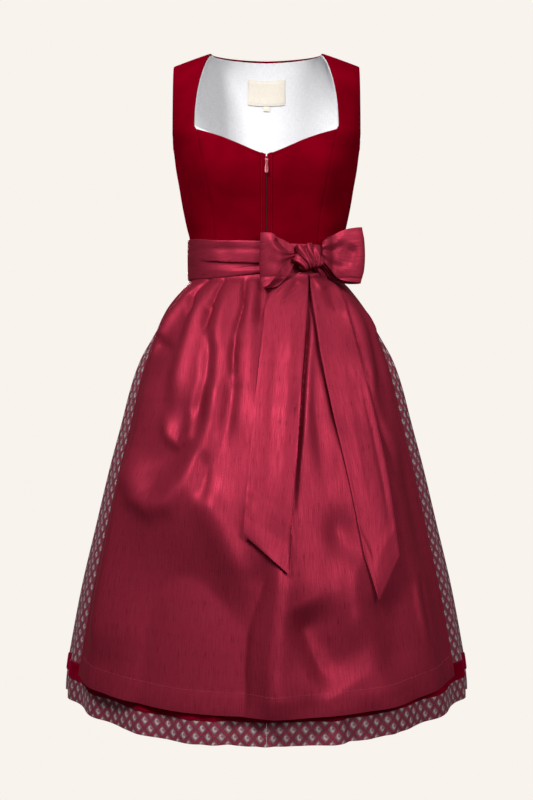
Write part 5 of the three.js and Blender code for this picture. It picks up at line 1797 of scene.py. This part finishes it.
@dataclass
class Bow:
    """The bow of the ties: two loops, the knot and two tails with slanted ends."""

    finishes: Finishes
    knot_seat: Grid = field(init=False)

    def __post_init__(self) -> None:
        """Finds where the knot sits."""
        self.knot_seat = dressed_front(np.array([KNOT.x]), np.array([KNOT.z]), KNOT.seat)[0]

    def loop(self, size: SimpleNamespace, outline: Table, forms: Sequence[Form]) -> GridPair:
        """One loop: a band that leaves the knot, turns over at its outer end and comes back behind.

        Args:
            size: its ends, its depth and how far its outer end bows out at its top and at its bottom.
            outline: heights of the edges of its front and back layer, from the knot to its outer end.
            forms: creases of its front, by place across and height.
        Returns:
            Its grid and its weave.
        """
        turn = (mix(0.09, 0.91, shares(120)) * 2 * np.pi)[None] * np.ones((50, 1))
        up = shares(50)[:, None] * np.ones_like(turn)
        along = (1 - np.cos(turn)) / 2
        edge = outline.at(along)
        front = smooth(0.5 + 1.4 * np.sin(turn))
        z = mix(mix(edge.back_bottom, edge.front_bottom, front), mix(edge.back_top, edge.front_top, front), up)
        bow = mix(size.bow_bottom, size.bow_top, up) * (2 * up - 1) ** 2
        x = mix(size.start, size.end, along) + np.sign(size.end - size.start) * bow * smooth(along)
        opened = smooth(along * 1.25)
        thick = size.deep * mix(0.55, 1, opened)
        aside = np.minimum(x, SASH_RING.half * 0.8)
        seat = dressed_front(aside, np.minimum(z, KNOT.z), 9.0)[..., 1]
        body = dressed_front(aside, np.full_like(z, KNOT.z), 9.0)[..., 1]
        back = mix(self.knot_seat[1] + thick / 2, -softened_max([-body, -seat], 0.5), smooth(along * 2.2))
        depth = thick * (0.5 - 0.5 * np.sin(turn) * np.sqrt(np.abs(np.sin(turn))))
        y = back - thick + depth - front * lifted(forms, x, z)
        # Creases that leave the knot like the ribs of a fan, and the edges, which roll back a little.
        fan = bell(along, 0.34) * 1.7 * np.cos(up * 15 + 0.8)
        rolled = 2.6 * (np.abs(2 * up - 1) ** 4) * front
        y = y - fan * front * smooth(along * 9) + rolled
        grid = np.stack([x, y, z], -1)
        height = size.tip_top - size.tip_bottom
        weave = np.stack([up * height, lengths(grid, 1)[25] * np.ones_like(up)], -1)
        if size.end > size.start:
            return grid[:, ::-1], weave[:, ::-1]
        return grid, weave

    def tail(self, rows: Table, tip: SimpleNamespace, forms: Sequence[Form]) -> GridPair:
        """One tail, from the knot to its slanted end.

        Args:
            rows: places of its edges at each height.
            tip: place and height of the point of its end, and how far its right edge leans off the apron.
            forms: its creases.
        Returns:
            Its grid and its weave.
        """
        count, columns = 170, 34
        top, low = float(rows.keys[-1]), float(rows.keys[0])
        last = rows.at(low)
        tip_share = (tip.x - last.left) / (last.right - last.left)
        across = np.unique(np.append(shares(columns), tip_share))[None]
        down = shares(count)[::-1, None]
        level = rows.at(top - (top - low) * down)
        slant = np.where(across <= tip_share, across / tip_share, (1 - across) / (1 - tip_share))
        reach = (tip.z - low) * np.clip(slant, 0, 1) * down**3
        x = mix(level.left, level.right, across)
        z = (top - (top - low) * down) + reach
        lift = TAIL_LIFT.flat + TAIL_LIFT.top * np.exp(-TAIL_LIFT.drop * down)
        soft = lifted(forms, x, z)
        curl = smooth(down * 6) * (1.6 * (1 - across) ** 3 + tip.lean * across**1.4)
        grid = over_apron(x, z, CLOTH + lift + soft + curl + 0.6)
        up = lengths(grid, 0).mean(axis=1, keepdims=True) * np.ones_like(x)
        width = lengths(grid, 1)
        return grid, np.stack([width, up], -1)

    def knot(self) -> Piece:
        """The knot: a lump of cloth with the tie wrapped tightly over it, creased along each wrap."""
        bpy.ops.object.select_all(action="DESELECT")
        bpy.ops.mesh.primitive_uv_sphere_add(segments=96, ring_count=64, radius=1.0)
        knot = bpy.context.object
        spots = np.array([v.co for v in knot.data.vertices], float)
        x, _, z = spots.T
        # Pleats of the tie fan out from the bottom of the knot and lie over one another.
        bend = np.arctan2(x + 0.05 * np.sin(5 * z), z + 1.5) * 3.1
        pleat = np.abs(np.sin(bend * 3.3 + 0.7)) ** 0.7
        second = np.abs(np.sin(bend * 4.7 + 2.0 * z))
        free = smooth((1.05 + z) / 0.5) * smooth((1.02 - z) / 0.25)
        crease = 0.76 + free * (0.42 * pleat + 0.1 * second)
        top = 1 + 0.1 * bell(x + 0.35, 0.35) * smooth(z * 1.6)
        scale = (crease * top)[:, None]
        local = spots * scale * np.array([KNOT.wide, KNOT.deep, KNOT.tall * 1.16])
        tilt, turn = KNOT.tilt, KNOT.turn
        about_y = np.array([
            [math.cos(tilt), 0, math.sin(tilt)], [0, 1, 0], [-math.sin(tilt), 0, math.cos(tilt)]])
        about_z = np.array([
            [math.cos(turn), -math.sin(turn), 0], [math.sin(turn), math.cos(turn), 0], [0, 0, 1]])
        placed = (local @ (about_y @ about_z).T + self.knot_seat + np.array([0, 0, 3.0])) * METRE
        knot.data.vertices.foreach_set("co", placed.astype(np.float32).ravel())
        layer = knot.data.uv_layers.active
        layer.name = "weave"
        loops = np.zeros(len(knot.data.loops), dtype=np.int32)
        knot.data.loops.foreach_get("vertex_index", loops)
        flat = np.stack([bend * KNOT.tall, z * KNOT.tall * 1.4], -1)[loops] * METRE
        layer.data.foreach_set("uv", flat.astype(np.float32).ravel())
        knot.data.update()
        return knot

    @staticmethod
    def crumple(name: str, rows: Sequence[tuple[float, float, float, float]]) -> Piece:
        """A small twisted fold of the tie beside the knot.

        Args:
            name: its name until it is joined to the knot.
            rows: the points of its middle line: x, height, distance out of the front and radius there.
        Returns:
            The fold.
        """
        line = np.array(rows, float)
        count, sides = 26, 18
        at = np.linspace(0, len(line) - 1, count)
        keys = np.arange(len(line))
        x, z, out, width = (np.interp(at, keys, column) for column in line.T)
        y = dressed_front(x, np.minimum(z, KNOT.z), 0.0)[:, 1] - out
        centre = np.stack([x, y, z], -1)
        along = np.gradient(centre, axis=0)
        along /= np.linalg.norm(along, axis=1, keepdims=True)
        side = np.cross(along, np.array([0.0, -1.0, 0.0]))
        side /= np.linalg.norm(side, axis=1, keepdims=True)
        up = np.cross(side, along)
        turn = np.linspace(0, 2 * np.pi, sides + 1)[None]
        creased = width[:, None] * (1 + 0.16 * np.cos(3 * turn + at[:, None] * 2.2))
        aside, above = np.cos(turn) * creased, np.sin(turn) * creased * 0.7
        grid = centre[:, None] + side[:, None] * aside[..., None] + up[:, None] * above[..., None]
        weave = np.stack([turn * 6 * np.ones_like(creased), at[:, None] * 9 * np.ones_like(creased)], -1)
        return cloth_object(name, grid, weave)

    def make(self) -> None:
        """Makes the knot, the loops and the tails."""
        satin = self.finishes.satin
        folds = [self.crumple(f"fold_{number}", rows) for number, rows in enumerate(KNOT_FOLDS)]
        knot = joined("satin_knot", [self.knot(), *folds])
        close_holes(40, 0.01 * METRE)
        dress(knot, satin, "satin", GARMENT, "bow_knot")
        loops = (
            ("left", LOOP_LEFT, LOOP_LEFT_OUTLINE, LOOP_LEFT_FORMS, "sash_long"),
            ("right", LOOP_RIGHT, LOOP_RIGHT_OUTLINE, LOOP_RIGHT_FORMS, "sash_short"),
        )
        for side, size, outline, forms, rest in loops:
            grid, weave = self.loop(size, outline, forms)
            sew(Cut(f"satin_loop_{side}", f"bow_loop_{side}", grid, satin, "satin", CLOTH, Held.FOLDED,
                    weave=weave, rests_on=(rest,)))
        tails = (
            ("left", TAIL_LEFT, TAIL_TIP_LEFT, TAIL_LEFT_FORMS),
            ("right", TAIL_RIGHT, TAIL_TIP_RIGHT, TAIL_RIGHT_FORMS),
        )
        for side, rows, tip, forms in tails:
            grid, weave = self.tail(rows, tip, forms)
            sew(Cut(f"satin_tail_{side}", f"tail_{side}", self.hemmed(grid), satin, "satin", CLOTH, Held.HUNG,
                    tip.flat, weave, ("apron", "bow_knot")))

    @staticmethod
    def hemmed(grid: Grid) -> Grid:
        """A tail with its edges rolled under."""
        edge = insets(grid)
        near = np.minimum(np.minimum(edge.left, edge.right), edge.bottom)
        return moved(grid, -0.6 * (1 - smooth(near / 1.6)))


# ---------------------------------------------------------------- studio


@dataclass
class Studio:
    """A pale floor and backdrop, soft lights and the camera, level with the middle of the dress."""

    backdrop: str = "#F8F3ED"
    floor_z: float = -1.38
    camera_z: float = -0.5827
    distance: float = 2.2
    lens: float = 58.95

    def pale(self, name: str) -> Material:
        """Pale paper that glows evenly and takes no shadow."""
        material = bpy.data.materials.new(name)
        material.use_nodes = True
        tree = material.node_tree
        tree.nodes.clear()
        glow = add(tree, "Emission", {"Color": colour(self.backdrop), "Strength": 1.0}).outputs[0]
        add(tree, "OutputMaterial", {"Surface": glow})
        return material

    @staticmethod
    def light(name: str, place: Place, aim_z: float, size: float, watts: float) -> None:
        """A square soft light that looks at a height on the middle line of the dress."""
        data = bpy.data.lights.new(name, "AREA")
        data.shape, data.size, data.energy = "SQUARE", size, watts
        lamp = bpy.data.objects.new(name, data)
        bpy.context.scene.collection.objects.link(lamp)
        lamp.location = place
        away = np.array(place) - np.array([0, 0, aim_z])
        flat = math.hypot(away[0], away[1])
        lamp.rotation_euler = (math.atan2(flat, away[2]), 0, math.atan2(away[1], away[0]) + math.pi / 2)

    def make(self) -> None:
        """Sets up the studio."""
        scene = bpy.context.scene
        scene.view_settings.view_transform = "Standard"
        data = bpy.data.cameras.new("camera")
        data.lens, data.sensor_width, data.clip_end = self.lens, 36, 60
        camera = bpy.data.objects.new("camera", data)
        scene.collection.objects.link(camera)
        camera.location = (0, -self.distance, self.camera_z)
        camera.rotation_euler = (math.pi / 2, 0, 0)
        scene.camera = camera
        bpy.ops.object.select_all(action="DESELECT")
        bpy.ops.mesh.primitive_uv_sphere_add(segments=64, ring_count=32, radius=14.0, location=(0, 0, 0))
        dome = bpy.context.object
        dome.name = "backdrop"
        dome.data.materials.append(self.pale("backdrop_paper"))
        for ray in ("diffuse", "glossy", "transmission", "volume_scatter", "shadow"):
            setattr(dome, f"visible_{ray}", False)
        bpy.ops.mesh.primitive_circle_add(
            vertices=96, radius=13.9, fill_type="NGON", location=(0, 0, self.floor_z))
        floor = bpy.context.object
        floor.name = "floor"
        floor.data.materials.append(self.pale("floor_paper"))
        for ray in ("diffuse", "glossy"):
            setattr(floor, f"visible_{ray}", False)
        world = bpy.data.worlds.new("studio") if scene.world is None else scene.world
        scene.world = world
        world.use_nodes = True
        world.node_tree.nodes.clear()
        sky = add(world.node_tree, "Background", {"Color": colour("#F4F2F2"), "Strength": 0.2})
        add(world.node_tree, "OutputWorld", {"Surface": sky.outputs[0]})
        for name, place, aim_z, size, watts in (
                ("key", (-0.75, -1.7, 1.15), -0.55, 0.6, 64), ("fill", (1.2, -2.3, 0.35), -0.55, 0.9, 38),
                ("top", (0.1, -0.35, 1.5), -0.1, 0.5, 5), ("back", (-0.35, 2.7, 0.15), -0.55, 1.0, 52)):
            self.light(name, place, aim_z, size, watts)


def main() -> None:
    """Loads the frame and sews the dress."""
    logging.basicConfig(level=logging.INFO, format="%(message)s")
    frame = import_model()
    LOG.info("%d solids", len(frame["nodes"]))
    Studio().make()
    finishes = Finishes()
    bodice = Bodice(finishes)
    bodice.make()
    Lining(finishes, bodice).make()
    Zip(finishes).make()
    Skirt(finishes).make()
    Apron(finishes).make()
    Waist(finishes).make()
    Bow(finishes).make()


if __name__ == "__main__":
    main()
